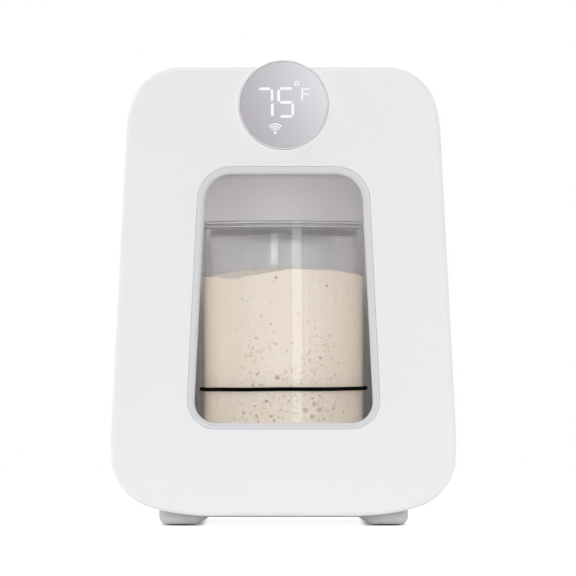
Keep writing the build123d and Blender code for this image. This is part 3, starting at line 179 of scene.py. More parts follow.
# Body and cover meet in a parting line, which reads as a fine dark gap round the box
SPLIT_HALF = 0.2 * MM
depth_way = add(tree, "ShaderNodeSeparateXYZ", links={"Vector": place}).outputs["Y"]
at_split = add(
    tree, "ShaderNodeMath", {"operation": "COMPARE", 1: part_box("body_shell")[1].y, 2: SPLIT_HALF},
    {0: depth_way},
)
split_tint = add(
    tree, "ShaderNodeMix", {"data_type": "RGBA", 7: linear("808184")},
    {0: at_split.outputs[0], 6: skin.outputs[2]},
)
tree.links.new(split_tint.outputs[2], surface.inputs["Base Color"])

# Front frame, door liner and dial works: plain ABS, a touch greyer and duller than the outside
inner_abs, tree, surface, place = finish("plain_abs_inside", IOR=1.53)
vary(tree, surface, place, "E4E4E5", 0.02, 40)
smudge(tree, surface, place, 0.45, 0.55, 25)
grain(tree, surface, place, 1.0, 0.01)

# Plinth: light grey ABS with an eroded grain, which reads soft and matt
plinth_abs, tree, surface, place = finish("grained_abs_plinth", IOR=1.53)
vary(tree, surface, place, "DEDCDD", 0.03, 30)
smudge(tree, surface, place, 0.52, 0.62, 20)
grain(tree, surface, place, 0.8, 0.03)

# Window trim: ABS with a pale grey satin lacquer, whose edges catch a thin light line
trim_lacquer, tree, surface, place = finish("grey_lacquered_trim", IOR=1.5)
vary(tree, surface, place, "E0E1E2", 0.015, 30)
smudge(tree, surface, place, 0.28, 0.36, 20)
grain(tree, surface, place, 1.2, 0.004)

# Hinge and bulkhead: glass-filled nylon, grey and matt with a faint flow grain
grey_nylon, tree, surface, place = finish("glass_filled_nylon", IOR=1.53)
vary(tree, surface, place, "A7A8AA", 0.08, 6)
smudge(tree, surface, place, 0.5, 0.62, 8)
grain(tree, surface, place, 0.5, 0.02)

# Fan, inlet and sensor: black moulded PBT, dull with a slight grey bloom
black_pbt, tree, surface, place = finish("black_moulded_pbt", IOR=1.55)
vary(tree, surface, place, "26272A", 0.25, 9)
smudge(tree, surface, place, 0.42, 0.55, 12)
grain(tree, surface, place, 0.6, 0.015)

# Panes: clear toughened float glass, drawn without the trace of green in its depth
pane_glass, tree, surface, place = finish(
    "toughened_float_glass", Base_Color=linear("FFFFFF"), Transmission_Weight=1.0, IOR=GLASS_IOR,
    Roughness=0.0,
)
smudge(tree, surface, place, 0.0, 0.012, 60)
let_light_through(tree, surface)

# Jar and lid: pressed clear glass, whose slow waves bend what is behind it a little
jar_glass, tree, surface, place = finish(
    "pressed_jar_glass", Base_Color=linear("FFFFFF"), Transmission_Weight=0.93, IOR=GLASS_IOR,
    Roughness=0.0,
)
smudge(tree, surface, place, 0.0, 0.02, 40)
grain(tree, surface, place, 26.0, 0.02, 1.0)
let_light_through(tree, surface)

# Chamber: aluminium sheet under a silver-grey lacquer, soft and satin with a slight metal sheen
lacquered, tree, surface, place = finish("silver_lacquered_aluminium", Metallic=0.25, IOR=1.5)
vary(tree, surface, place, "EAE8EA", 0.03, 70)
smudge(tree, surface, place, 0.42, 0.52, 50)
grain(tree, surface, place, 0.6, 0.006)

# Cold block and heat sink: milled and extruded aluminium, brighter along the cut edges
milled, tree, surface, place = finish("milled_aluminium", Metallic=1.0)
vary(tree, surface, place, "D3D4D6", 0.06, 12)
smudge(tree, surface, place, 0.3, 0.42, 8)
grain(tree, surface, place, 0.5, 0.01)

# Screws and springs: zinc-plated steel, a cool grey with small bright patches
zinc_steel, tree, surface, place = finish("zinc_plated_steel", Metallic=1.0)
vary(tree, surface, place, "C3C6CA", 0.12, 2)
smudge(tree, surface, place, 0.24, 0.4, 2)
grain(tree, surface, place, 0.4, 0.01)

# Magnets: nickel plating, bright and smooth
nickel, tree, surface, place = finish("nickel_plating", Metallic=1.0)
vary(tree, surface, place, "D2D0CB", 0.06, 4)
smudge(tree, surface, place, 0.12, 0.24, 5)

# Gasket: extruded silicone rubber in pale grey, soft and dull
gasket_rubber, tree, surface, place = finish("extruded_silicone_gasket", IOR=1.43)
vary(tree, surface, place, "C9CACB", 0.05, 10)
smudge(tree, surface, place, 0.55, 0.68, 10)
grain(tree, surface, place, 0.8, 0.02)

# Lid seal: translucent grey silicone, its colour darkened to grey-brown with painted shade for the dark
# chamber behind it
seal_silicone_painted_shade, tree, surface, place = finish("translucent_silicone_seal", IOR=1.43, Transmission_Weight=0.1)
vary(tree, surface, place, "6C6665", 0.10, 14)
smudge(tree, surface, place, 0.35, 0.5, 8)

# Level band: black elastic rubber with a slight sheen
band_rubber, tree, surface, place = finish("black_elastic_rubber", IOR=1.52, Specular_IOR_Level=0.15)
vary(tree, surface, place, "030303", 0.3, 3)
smudge(tree, surface, place, 0.7, 0.8, 4)
grain(tree, surface, place, 0.6, 0.03)

# Foot pads: dark grey rubber, matt with a moulded grain
foot_rubber, tree, surface, place = finish("moulded_foot_rubber", IOR=1.52)
vary(tree, surface, place, "3A3938", 0.2, 4)
smudge(tree, surface, place, 0.65, 0.8, 5)
grain(tree, surface, place, 0.7, 0.04)

# Insulation: closed-cell foam, cream, with cells about a millimetre wide
foam, tree, surface, place = finish("closed_cell_foam", IOR=1.5, Roughness=0.9)
cells = add(tree, "ShaderNodeTexVoronoi", {"Scale": per_mm(1.2)}, {"Vector": place})
foam_tint = add(
    tree, "ShaderNodeMix", {"data_type": "RGBA", 6: linear("E9E0BF"), 7: linear("CFC397")},
    {0: cells.outputs["Distance"]},
)
tree.links.new(foam_tint.outputs[2], surface.inputs["Base Color"])
foam_bump = add(
    tree, "ShaderNodeBump", {"Strength": 0.6, "Distance": 0.3 * MM}, {"Height": cells.outputs["Distance"]}
)
tree.links.new(foam_bump.outputs[0], surface.inputs["Normal"])

# Heat pump plates: alumina ceramic, chalk white and matt
ceramic, tree, surface, place = finish("alumina_ceramic", IOR=1.76)
vary(tree, surface, place, "EFEEEA", 0.04, 5)
smudge(tree, surface, place, 0.55, 0.7, 4)

# Circuit boards: green solder mask over glass cloth, whose weave is drawn at its real half millimetre
solder_mask, tree, surface, place = finish("green_solder_mask", IOR=1.5, Roughness=0.35)
cloth = add(tree, "ShaderNodeTexWave", {"Scale": per_mm(0.5 * 2 * math.pi)}, {"Vector": place})
mask_tint = add(
    tree, "ShaderNodeMix", {"data_type": "RGBA", 6: linear("12402A"), 7: linear("1D5B3B")},
    {0: cloth.outputs["Fac"]},
)
tree.links.new(mask_tint.outputs[2], surface.inputs["Base Color"])

# Dial face: a clear lens over a silvered film, with painted light on it: its colour grades from mid grey at
# lower left to pale at upper right, as if lit from the upper right
dial_film_painted_light, tree, surface, place = finish("silvered_lens_film_painted_light", IOR=1.49, Roughness=0.32)
# The way across the dial along which the painted light grades, and its middle at the dial's centre
PAINTED_LIGHT_ACROSS, PAINTED_LIGHT_UP = 0.88, 0.47
FILM_HALF = 27.1 * MM
painted_light_middle = DIAL_Z * MM * PAINTED_LIGHT_UP
painted_light_way = add(
    tree, "ShaderNodeVectorMath", {"operation": "DOT_PRODUCT", 1: (PAINTED_LIGHT_ACROSS, 0.0, PAINTED_LIGHT_UP)}, {0: place}
)
painted_light_span = add(
    tree, "ShaderNodeMapRange",
    {"From Min": painted_light_middle - FILM_HALF, "From Max": painted_light_middle + FILM_HALF},
    {"Value": painted_light_way.outputs["Value"]},
)
painted_light_ramp = add(tree, "ShaderNodeValToRGB", links={"Fac": painted_light_span.outputs[0]})
painted_light_stops = painted_light_ramp.color_ramp.elements
painted_light_stops[0].position = 0.05
painted_light_stops[0].color = linear("BCB8BC")
painted_light_stops[1].position = 0.98
painted_light_stops[1].color = linear("E6E8E9")
painted_light_stops.new(0.5).color = linear("CDCCCE")
tree.links.new(painted_light_ramp.outputs["Color"], surface.inputs["Base Color"])

# Lit figures: light from small lamps behind diffusers, which reads as an even near-white
lit_figure, tree, surface, place = finish(
    "lit_diffuser", Base_Color=linear("F6F6F8"), Roughness=0.5, Emission_Color=linear("FFFFFF"),
    Emission_Strength=0.10,
)
smudge(tree, surface, place, 0.45, 0.55, 3)

# Starter: wet flour dough, cream with a faint glow below its skin, and darker in its bubbles and craters with
# painted shade
dough_skin, tree, surface, place = finish(
    "fermenting_dough", IOR=1.38, Subsurface_Weight=0.15, Subsurface_Scale=0.004, Roughness=0.45
)
surface.inputs["Subsurface Radius"].default_value = (1.0, 0.75, 0.5)
curds = add(tree, "ShaderNodeTexNoise", {"Scale": per_mm(22), "Detail": 5.0}, {"Vector": place})
dough_tint = add(
    tree, "ShaderNodeMix", {"data_type": "RGBA", 6: linear("E0D2BF"), 7: linear("EAE0D3")},
    {0: curds.outputs["Fac"]},
)
# Painted shade: bubbles and craters darken towards tan by the bubble attribute
painted_pit_shade = add(tree, "ShaderNodeAttribute", {"attribute_name": "bubble"})
painted_pit_tint = add(
    tree, "ShaderNodeMix", {"data_type": "RGBA", 7: linear("AE9270")},
    {0: painted_pit_shade.outputs["Fac"], 6: dough_tint.outputs[2]},
)
tree.links.new(painted_pit_tint.outputs[2], surface.inputs["Base Color"])
fine_cells = add(tree, "ShaderNodeTexVoronoi", {"Scale": per_mm(2.4)}, {"Vector": place})
dough_bump = add(
    tree, "ShaderNodeBump", {"Strength": 0.25, "Distance": 0.2 * MM},
    {"Height": fine_cells.outputs["Distance"]},
)
tree.links.new(dough_bump.outputs[0], surface.inputs["Normal"])

# Floor: a smooth pale sweep, white to the eye and to mirrors, which keeps the shadow under the plinth
floor_sweep, tree, surface, place = finish("pale_floor", Base_Color=linear("F4F4F4"), Roughness=0.9)
rays = add(tree, "ShaderNodeLightPath")
seen = add(
    tree, "ShaderNodeMath", {"operation": "MAXIMUM"},
    {0: rays.outputs["Is Camera Ray"], 1: rays.outputs["Is Glossy Ray"]},
)
seen = add(
    tree, "ShaderNodeMath", {"operation": "MAXIMUM"},
    {0: seen.outputs[0], 1: rays.outputs["Is Transmission Ray"]},
)
# In mirror images the floor darkens towards the front, as the room does, so that glass seen from above
# stays clear
floor_way = add(tree, "ShaderNodeSeparateXYZ", links={"Vector": place}).outputs["Y"]
mirrored_level = add(
    tree, "ShaderNodeMapRange", {"From Min": -0.40, "From Max": -0.15, "To Min": 0.15, "To Max": 1.0},
    {"Value": floor_way},
)
mirrored = add(
    tree, "ShaderNodeMath", {"operation": "GREATER_THAN", 1: 0.5}, {0: rays.outputs["Glossy Depth"]}
)
mirrored_level = add(
    tree, "ShaderNodeMix", {2: 1.0}, {0: mirrored.outputs[0], 3: mirrored_level.outputs[0]}
)
seen = add(
    tree, "ShaderNodeMath", {"operation": "MULTIPLY"}, {0: seen.outputs[0], 1: mirrored_level.outputs[0]}
)
# The lift fades where the object stands close over the floor, so the line of contact stays dark
FLOOR_LIFT = 0.87
CONTACT_REACH = 3.5 * MM
contact = add(tree, "ShaderNodeAmbientOcclusion", {"samples": 8, "Distance": CONTACT_REACH})
lift = add(tree, "ShaderNodeMath", {"operation": "MULTIPLY", 1: FLOOR_LIFT}, {0: seen.outputs[0]})
lift = add(
    tree, "ShaderNodeMath", {"operation": "MULTIPLY"}, {0: lift.outputs[0], 1: contact.outputs["AO"]}
)
surface.inputs["Emission Color"].default_value = (1.0, 1.0, 1.0, 1.0)
tree.links.new(lift.outputs[0], surface.inputs["Emission Strength"])

node_finish = {
    door_abs: ["door_shell"],
    ring_abs_painted_light: ["dial_ring"],
    body_abs: ["body_shell", "rear_cover"],
    inner_abs: ["front_frame", "door_liner", "dial_carrier", "dial_pod", "pod_cover"],
    plinth_abs: ["base_plinth"],
    trim_lacquer: ["window_trim"],
    grey_nylon: ["rear_bulkhead", "hinge_brackets", "hinge_arms", "fan_spacers"],
    black_pbt: [
        "fan_frame", "fan_stator", "fan_rotor", "power_inlet", "temperature_sensor",
        "press_switch", "digit_module",
    ],
    pane_glass: ["outer_pane", "inner_pane"],
    jar_glass: ["jar", "jar_lid"],
    lacquered: ["chamber_liner"],
    milled: ["cold_block", "heat_sink"],
    zinc_steel: [
        "clamp_screws", "fan_screws", "cover_screws", "plinth_screws", "hinge_pins",
        "hinge_screws", "door_screws", "stem_screw", "dial_spring", "striker_plates",
    ],
    nickel: ["door_magnets"],
    gasket_rubber: ["door_gasket"],
    seal_silicone_painted_shade: ["lid_seal"],
    band_rubber: ["level_band"],
    foot_rubber: ["rubber_feet"],
    foam: ["insulation"],
    ceramic: ["thermoelectric_module"],
    solder_mask: ["main_board", "display_board"],
    dial_film_painted_light: ["dial_lens"],
    dough_skin: ["starter"],
}
for material, names in node_finish.items():
    for name in names:
        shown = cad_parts[name].data
        shown.materials.clear()
        shown.materials.append(material)


def piece(name, points, faces, material, smooth=True, sharp_deg=35.0):
    """A mesh piece from points in metres; edges sharper than sharp_deg stay crisp."""
    mesh = bpy.data.meshes.new(name)
    mesh.from_pydata([tuple(p) for p in points], [], [tuple(f) for f in faces])
    mesh.validate()
    mesh.materials.append(material)
    if smooth:
        mesh.polygons.foreach_set("use_smooth", [True] * len(mesh.polygons))
        mesh.set_sharp_from_angle(angle=math.radians(sharp_deg))
    made = bpy.data.objects.new(name, mesh)
    bpy.context.scene.collection.objects.link(made)
    return made


def rounded(corners, steps=8):
    """Points of a line through (r, z, radius) corners in mm, each corner rounded by its radius."""
    made = []
    for i, (r, z, radius) in enumerate(corners):
        here = Vector((r, z))
        if radius == 0 or i in (0, len(corners) - 1):
            made.append(here)
            continue
        back = (Vector(corners[i - 1][:2]) - here).normalized()
        on = (Vector(corners[i + 1][:2]) - here).normalized()
        half = math.acos(max(-1.0, min(1.0, back.dot(on)))) / 2
        reach = radius / math.tan(half)
        centre = here + (back + on).normalized() * (radius / math.sin(half))
        start = here + back * reach - centre
        sweep = start.angle_signed(here + on * reach - centre)
        for step in range(steps + 1):
            turn = -sweep * step / steps
            made.append(centre + Matrix.Rotation(turn, 2) @ start)
    return [(p.x, p.y) for p in made]


TURN_STEPS = 192


def turned(name, profile, material, centre_y, closed=True):
    """A piece turned about the upright line through centre_y, from (r, z) points in mm."""
    points, faces, rings = [], [], []
    for r, z in profile:
        if r < 1e-6:
            rings.append([len(points)])
            points.append((0.0, centre_y * MM, z * MM))
            continue
        rings.append(list(range(len(points), len(points) + TURN_STEPS)))
        for k in range(TURN_STEPS):
            a = 2 * math.pi * k / TURN_STEPS
            points.append((r * MM * math.cos(a), (centre_y + r * math.sin(a)) * MM, z * MM))
    pairs = list(zip(rings, rings[1:]))
    if closed:
        pairs.append((rings[-1], rings[0]))
    for a, b in pairs:
        for k in range(TURN_STEPS):
            n = (k + 1) % TURN_STEPS
            if len(a) == 1:
                faces.append((a[0], b[n], b[k]))
            elif len(b) == 1:
                faces.append((a[k], a[n], b[0]))
            else:
                faces.append((a[k], a[n], b[n], b[k]))
    return piece(name, points, faces, material)


# Jar: pressed glass, turned finely enough for clean reflections. Sizes in mm
JAR_Y = -21.0
JAR_R, INNER_R = 51.0, 47.0
JAR_LOW, JAR_FLOOR, JAR_RIM = 42.0, 47.0, 187.1
OUTER_CORNER, INNER_CORNER, RIM_ROUND = 6.0, 5.0, 0.8
# Rings next to each rounding keep the shading of the straight wall and flat floor true, so that mirror images
# aren't bent
RING_GAP = 0.5
UPPER_RING = 186.0
jar_profile = rounded([
    (0.0, JAR_LOW, 0), (JAR_R - OUTER_CORNER - RING_GAP, JAR_LOW, 0), (JAR_R, JAR_LOW, OUTER_CORNER),
    (JAR_R, JAR_LOW + OUTER_CORNER + RING_GAP, 0), (JAR_R, UPPER_RING, 0), (JAR_R, JAR_RIM, RIM_ROUND),
    (INNER_R, JAR_RIM, RIM_ROUND), (INNER_R, UPPER_RING, 0),
    (INNER_R, JAR_FLOOR + INNER_CORNER + RING_GAP, 0), (INNER_R, JAR_FLOOR, INNER_CORNER),
    (INNER_R - INNER_CORNER - RING_GAP, JAR_FLOOR, 0), (0.0, JAR_FLOOR, 0),
])
jar_piece = turned("jar_glass_body", jar_profile, jar_glass, JAR_Y, closed=False)
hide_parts("jar")
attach(jar_piece, "jar")

# Lid: a glass disc with a fine groove round its edge, over a plug that carries the seal
LID_R, GROOVE_R, PLUG_R = 50.6, 50.3, 43.0
PLUG_LOW, LID_TOP = 182.1, 191.6
lid_profile = rounded([
    (0.0, PLUG_LOW, 0), (42.2, PLUG_LOW, 0), (PLUG_R, PLUG_LOW, 0.6), (PLUG_R, JAR_RIM, 0.4),
    (LID_R, JAR_RIM, 0.5), (LID_R, 188.5, 0.25), (GROOVE_R, 188.8, 0.2), (GROOVE_R, 189.2, 0.2),
    (LID_R, 189.5, 0.25), (LID_R, LID_TOP, 0.8), (49.5, LID_TOP, 0), (0.0, LID_TOP, 0),
])
lid_piece = turned("jar_lid_glass", lid_profile, jar_glass, JAR_Y, closed=False)
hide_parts("jar_lid")
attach(lid_piece, "lid")

# Seal: a ring with two lips and a waist between them, a hair clear of plug and rim
SEAL_R, LIP_R, WAIST_R = 43.05, 46.7, 45.8
SEAL_TOP = 187.0
seal_profile = rounded([
    (SEAL_R, PLUG_LOW, 0), (LIP_R, PLUG_LOW, 0.5), (LIP_R, 183.6, 0.3), (WAIST_R, 183.9, 0.3),
    (WAIST_R, 185.1, 0.3), (LIP_R, 185.4, 0.3), (LIP_R, SEAL_TOP, 0.5), (SEAL_R, SEAL_TOP, 0),
], steps=3)
seal_piece = turned("lid_seal_ring", seal_profile, seal_silicone_painted_shade, JAR_Y)
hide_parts("lid_seal")
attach(seal_piece, "lid")

# Level band: a round elastic that dips a little where it is slack
BAND_Z = 85.5
BAND_R = 1.25
BAND_GAP = 0.02
band_rings, band_sides = 192, 16
band_points, band_faces = [], []
for k in range(band_rings):
    a = 2 * math.pi * k / band_rings
    drop = 0.32 * math.cos(a) + 0.10 * math.sin(3 * a + 0.4) + 0.06 * math.sin(7 * a)
    for s in range(band_sides):
        b = 2 * math.pi * s / band_sides
        r = JAR_R + BAND_R + BAND_GAP + BAND_R * math.cos(b)
        band_points.append((
            r * MM * math.cos(a),
            (JAR_Y + r * math.sin(a)) * MM,
            (BAND_Z + drop + BAND_R * math.sin(b)) * MM,
        ))
        n, t = (k + 1) % band_rings, (s + 1) % band_sides
        here, on = k * band_sides, n * band_sides
        band_faces.append((here + s, on + s, on + t, here + t))
band_piece = piece("level_band_elastic", band_points, band_faces, band_rubber)
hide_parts("level_band")
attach(band_piece, "jar")

# Starter: a cylinder of dough against the glass, with bubbles in its side and a domed, cratered top.
# Bubble places are (across, height, radius) in mm as they show from the front, through the glass.
deep_bubbles = [
    (-4.7, 155.2, 1.0), (26.8, 150.1, 0.9), (9.0, 133.6, 0.7), (14.9, 127.9, 0.6), (28.3, 119.4, 0.6),
    (-17.0, 118.0, 0.7), (-20.7, 116.0, 0.5), (-19.0, 111.8, 0.6), (-5.4, 114.2, 0.6), (25.0, 113.3, 0.5),
    (22.6, 105.6, 0.9), (15.8, 104.4, 0.6), (-16.4, 95.6, 0.8), (-4.0, 93.6, 1.4), (-19.0, 88.6, 0.8),
    (-14.5, 88.8, 0.6), (-10.6, 78.9, 1.0), (-7.5, 69.6, 0.8), (-17.7, 75.9, 0.6), (10.6, 89.7, 0.7),
    (-11.7, 65.8, 0.5), (37.0, 72.3, 0.8),
]
pale_bubbles = [
    (-20.7, 143.0, 0.6), (-20.3, 108.7, 0.6), (15.5, 108.6, 0.6), (23.8, 101.0, 0.8), (-17.7, 103.8, 0.6),
    (5.2, 98.2, 0.7), (28.8, 92.2, 0.6), (31.6, 95.0, 0.9), (43.2, 92.2, 0.6), (-16.7, 69.8, 1.1),
    (-24.6, 71.5, 1.1), (-15.7, 66.4, 0.9), (-5.9, 67.1, 1.0), (-30.5, 68.0, 0.8), (13.5, 73.4, 1.6),
    (18.9, 77.2, 1.5), (22.2, 73.5, 1.5), (17.8, 69.3, 1.5), (24.7, 68.0, 0.9), (40.0, 76.9, 0.6),
    (30.9, 74.6, 1.3), (22.2, 82.2, 0.9), (17.8, 80.7, 1.0), (0.3, 82.0, 0.8), (-40.8, 79.7, 0.7),
]
# Height of the dough's edge round the glass, in degrees from the front and mm: low at the left, high in the
# middle
rim_turns = [-180, -125, -85, -60, -41, -22, -8, 9, 36, 54, 85, 130, 180]
rim_heights = [159.6, 158.0, 156.6, 156.0, 154.8, 157.2, 159.8, 161.2, 160.2, 158.9, 156.9, 158.4, 159.6]
DOUGH_R = 47.02
DOUGH_LOW = 47.05
DOUGH_FOOT = 5.0
WALL_TOP = 157.2
RIM_WAVE = 6.0
CROWN = 3.0
# The jar stands behind the box's front plane, so what is seen on it is a little larger in truth
JAR_SCALE = 0.979
SIDE_BUBBLES, BACK_BUBBLES, CRATERS = 900, 60, 420
front_columns, back_columns, rows, top_rings = 600, 130, 380, 110
columns = front_columns + back_columns
rng = random.Random(SEED)


def wall_angle(across):
    """Where a bubble seen at this distance across sits round the dough, by the glass wall's bending."""
    seen_at = max(-0.999, min(0.999, across / JAR_R))
    into = math.asin(seen_at)
    inside = math.asin(seen_at / GLASS_IOR)
    return into - inside + math.asin(seen_at * JAR_R / GLASS_IOR / INNER_R)


def seen_bubble(across, height, radius, depth, shade):
    """A bubble as (turn, height, radius, depth, shade), from where and how large it shows from the front."""
    real_height = CAMERA_Z + (height - CAMERA_Z) / JAR_SCALE
    return wall_angle(across / JAR_SCALE), real_height, radius * 1.1, depth, shade


bubbles = [seen_bubble(*spot, 0.5, 0.85) for spot in deep_bubbles]
bubbles += [seen_bubble(*spot, 0.3, 0.6) for spot in pale_bubbles]
for _ in range(SIDE_BUBBLES):
    low_down = rng.random() ** 1.7
    z = DOUGH_LOW + 6.0 + (WALL_TOP - DOUGH_LOW - 8.0) * low_down
    turn = rng.uniform(-math.pi, math.pi)
    bubbles.append((turn, z, 0.5 + 0.35 * rng.random() ** 3, 0.0, rng.uniform(0.12, 0.45)))
# Crowds of small bubbles, as they stand in the photographed dough: place, spread and number of each crowd
for across, height, wide, high, count in (
    (-18.0, 107.0, 7.0, 9.0, 45), (20.0, 108.0, 8.0, 8.0, 45), (-8.0, 92.0, 16.0, 4.0, 30),
    (2.0, 74.0, 24.0, 5.0, 95), (26.0, 93.0, 9.0, 8.0, 25), (0.0, 140.0, 24.0, 10.0, 25),
):
    for _ in range(count):
        x = rng.gauss(across, wide)
        z = min(WALL_TOP - 4.0, max(DOUGH_LOW + 8.0, rng.gauss(height, high)))
        if abs(x) < INNER_R - 2.0:
            turn = wall_angle(x / JAR_SCALE)
            bubbles.append((turn, z, 0.55 + 0.35 * rng.random() ** 2, 0.0, rng.uniform(0.25, 0.65)))
for _ in range(BACK_BUBBLES):
    low_down = rng.random() ** 2
    z = DOUGH_LOW + 6.0 + (WALL_TOP - DOUGH_LOW - 30.0) * low_down
    turn = rng.uniform(math.pi / 2, 3 * math.pi / 2)
    bubbles.append((math.remainder(turn, 2 * math.pi), z, 0.8 + 0.9 * rng.random() ** 2, 0.4, 0.5))

FRONT_HALF = math.radians(102)
theta = np.concatenate([
    np.linspace(-FRONT_HALF, FRONT_HALF, front_columns, endpoint=False),
    np.linspace(FRONT_HALF, 2 * math.pi - FRONT_HALF, back_columns, endpoint=False),
])
even_turns = np.arange(-540, 540, 1.0)
soften = np.hanning(25) / np.hanning(25).sum()
even_heights = np.convolve(np.interp(even_turns, rim_turns, rim_heights, period=360), soften, "same")
wall_top = (
    np.interp(np.degrees(theta), even_turns, even_heights)
    + 0.25 * np.sin(11 * theta + 0.3) + 0.2 * np.sin(23 * theta) + 0.12 * np.sin(41 * theta)
)
share = np.linspace(0.0, 1.0, rows)
side_z = DOUGH_LOW + DOUGH_FOOT + (wall_top[None, :] - DOUGH_LOW - DOUGH_FOOT) * share[:, None]
side_r = np.full_like(side_z, DOUGH_R)
side_pit_shade = np.zeros_like(side_z)
# Each bubble dents the side and paints its shade into the bubble attribute
for turn, z, r, depth, shade in bubbles:
    gap_a = np.remainder(theta - turn + math.pi, 2 * math.pi) - math.pi
    picked = np.flatnonzero(np.abs(gap_a) * DOUGH_R < r)
    levels = np.flatnonzero(np.abs(side_z[:, 0] - z) < r + RIM_WAVE)
    if not len(picked) or not len(levels):
        continue
    patch = np.ix_(levels, picked)
    away = np.sqrt((gap_a[picked][None, :] * DOUGH_R) ** 2 + (side_z[patch] - z) ** 2) / r
    inside = np.clip(1.0 - away ** 2, 0.0, 1.0)
    side_r[patch] = np.minimum(side_r[patch], DOUGH_R - depth * r * inside)
    side_pit_shade[patch] = np.maximum(side_pit_shade[patch], shade * np.clip(2.4 * inside, 0, 1))
side_x = side_r * np.sin(theta)[None, :]
side_y = JAR_Y - side_r * np.cos(theta)[None, :]
points = [np.stack([side_x, side_y, side_z], -1).reshape(-1, 3)]
pit_shade = [side_pit_shade.ravel()]

# Rounded foot of the dough, where it follows the jar's inner corner
foot_rings = 6
for ring in range(foot_rings):
    turn = math.pi / 2 * (ring + 1) / foot_rings
    r = DOUGH_R - DOUGH_FOOT + DOUGH_FOOT * math.cos(turn)
    z = DOUGH_LOW + DOUGH_FOOT - DOUGH_FOOT * math.sin(turn)
    points.append(np.stack([r * np.sin(theta), JAR_Y - r * np.cos(theta), np.full(columns, z)], -1))
    pit_shade.append(np.zeros(columns))

# Domed top, with lumps where gas has pushed it up and craters where bubbles have burst
ring_share = 1.0 - np.linspace(0.0, 1.0, top_rings + 1)[1:-1]
crown = CROWN * (1.0 - ring_share[:, None] ** 4)
crown = crown + (wall_top.mean() - wall_top)[None, :] * (1 - ring_share[:, None] ** 1.5)
top_z = wall_top[None, :] + crown
top_x = DOUGH_R * ring_share[:, None] * np.sin(theta)[None, :]
top_y = -DOUGH_R * ring_share[:, None] * np.cos(theta)[None, :]
for size, height in ((21.0, 1.3), (8.0, 0.7), (3.0, 0.25)):
    lump = np.array([
        [noise.noise(Vector((x / size, y / size, size))) for x, y in zip(rx, ry)]
        for rx, ry in zip(top_x, top_y)
    ])
    top_z = top_z + height * lump * (1.0 - ring_share[:, None] ** 6)
# Craters dip the top and get painted shade
top_pit_shade = np.zeros_like(top_z)
for _ in range(CRATERS):
    reach = (DOUGH_R - 2.0) * math.sqrt(rng.random())
    turn = rng.uniform(-math.pi, math.pi)
    r = 0.5 + 1.5 * rng.random() ** 2.5
    away = np.hypot(top_x - reach * math.sin(turn), top_y + reach * math.cos(turn)) / r
    inside = np.clip(1.0 - away ** 2, 0.0, 1.0)
    top_z = top_z - 0.5 * r * np.sqrt(inside) * (away < 1)
    top_pit_shade = np.maximum(top_pit_shade, inside * 0.5)
points.append(np.stack([top_x, JAR_Y + top_y, top_z], -1).reshape(-1, 3))
pit_shade.append(top_pit_shade.ravel())
points.append(np.array([[0.0, JAR_Y, top_z[-1].mean()], [0.0, JAR_Y, DOUGH_LOW]]))
pit_shade.append(np.zeros(2))

points = np.concatenate(points) * MM
side_start, foot_start = 0, rows * columns
top_start = foot_start + foot_rings * columns
tip, sole = len(points) - 2, len(points) - 1
rings = [foot_start + columns * (foot_rings - 1 - i) for i in range(foot_rings)]
rings += [side_start + columns * i for i in range(rows)]
rings += [top_start + columns * i for i in range(len(ring_share))]
faces = []
nxt = (np.arange(columns) + 1) % columns
around = np.arange(columns)
for low, high in zip(rings, rings[1:]):
    faces.extend(np.stack([low + around, low + nxt, high + nxt, high + around], -1).tolist())
faces.extend((sole, rings[0] + int(nxt[k]), rings[0] + k) for k in range(columns))
faces.extend((tip, rings[-1] + k, rings[-1] + int(nxt[k])) for k in range(columns))
dough_piece = piece("starter_dough", points, faces, dough_skin, sharp_deg=180.0)
# The bubble attribute holds the painted shade of bubbles and craters
dough_piece.data.attributes.new("bubble", "FLOAT", "POINT").data.foreach_set(
    "value", np.concatenate(pit_shade).astype(np.float32)
)
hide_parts("starter")
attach(dough_piece, "jar")

# Screws whose heads can be seen: zinc-plated, with a cross recess for the driver
HEAD_R, SHAFT_R, HEAD_H, CROSS_DEPTH = 2.8, 1.4, 2.0, 1.1
cross_line = []
for quarter in range(4):
    turn = Matrix.Rotation(math.pi / 2 * quarter, 2)
    cross_line += [turn @ Vector(p) for p in ((1.75, -0.4), (1.75, 0.4), (0.75, 0.4), (0.4, 0.75))]


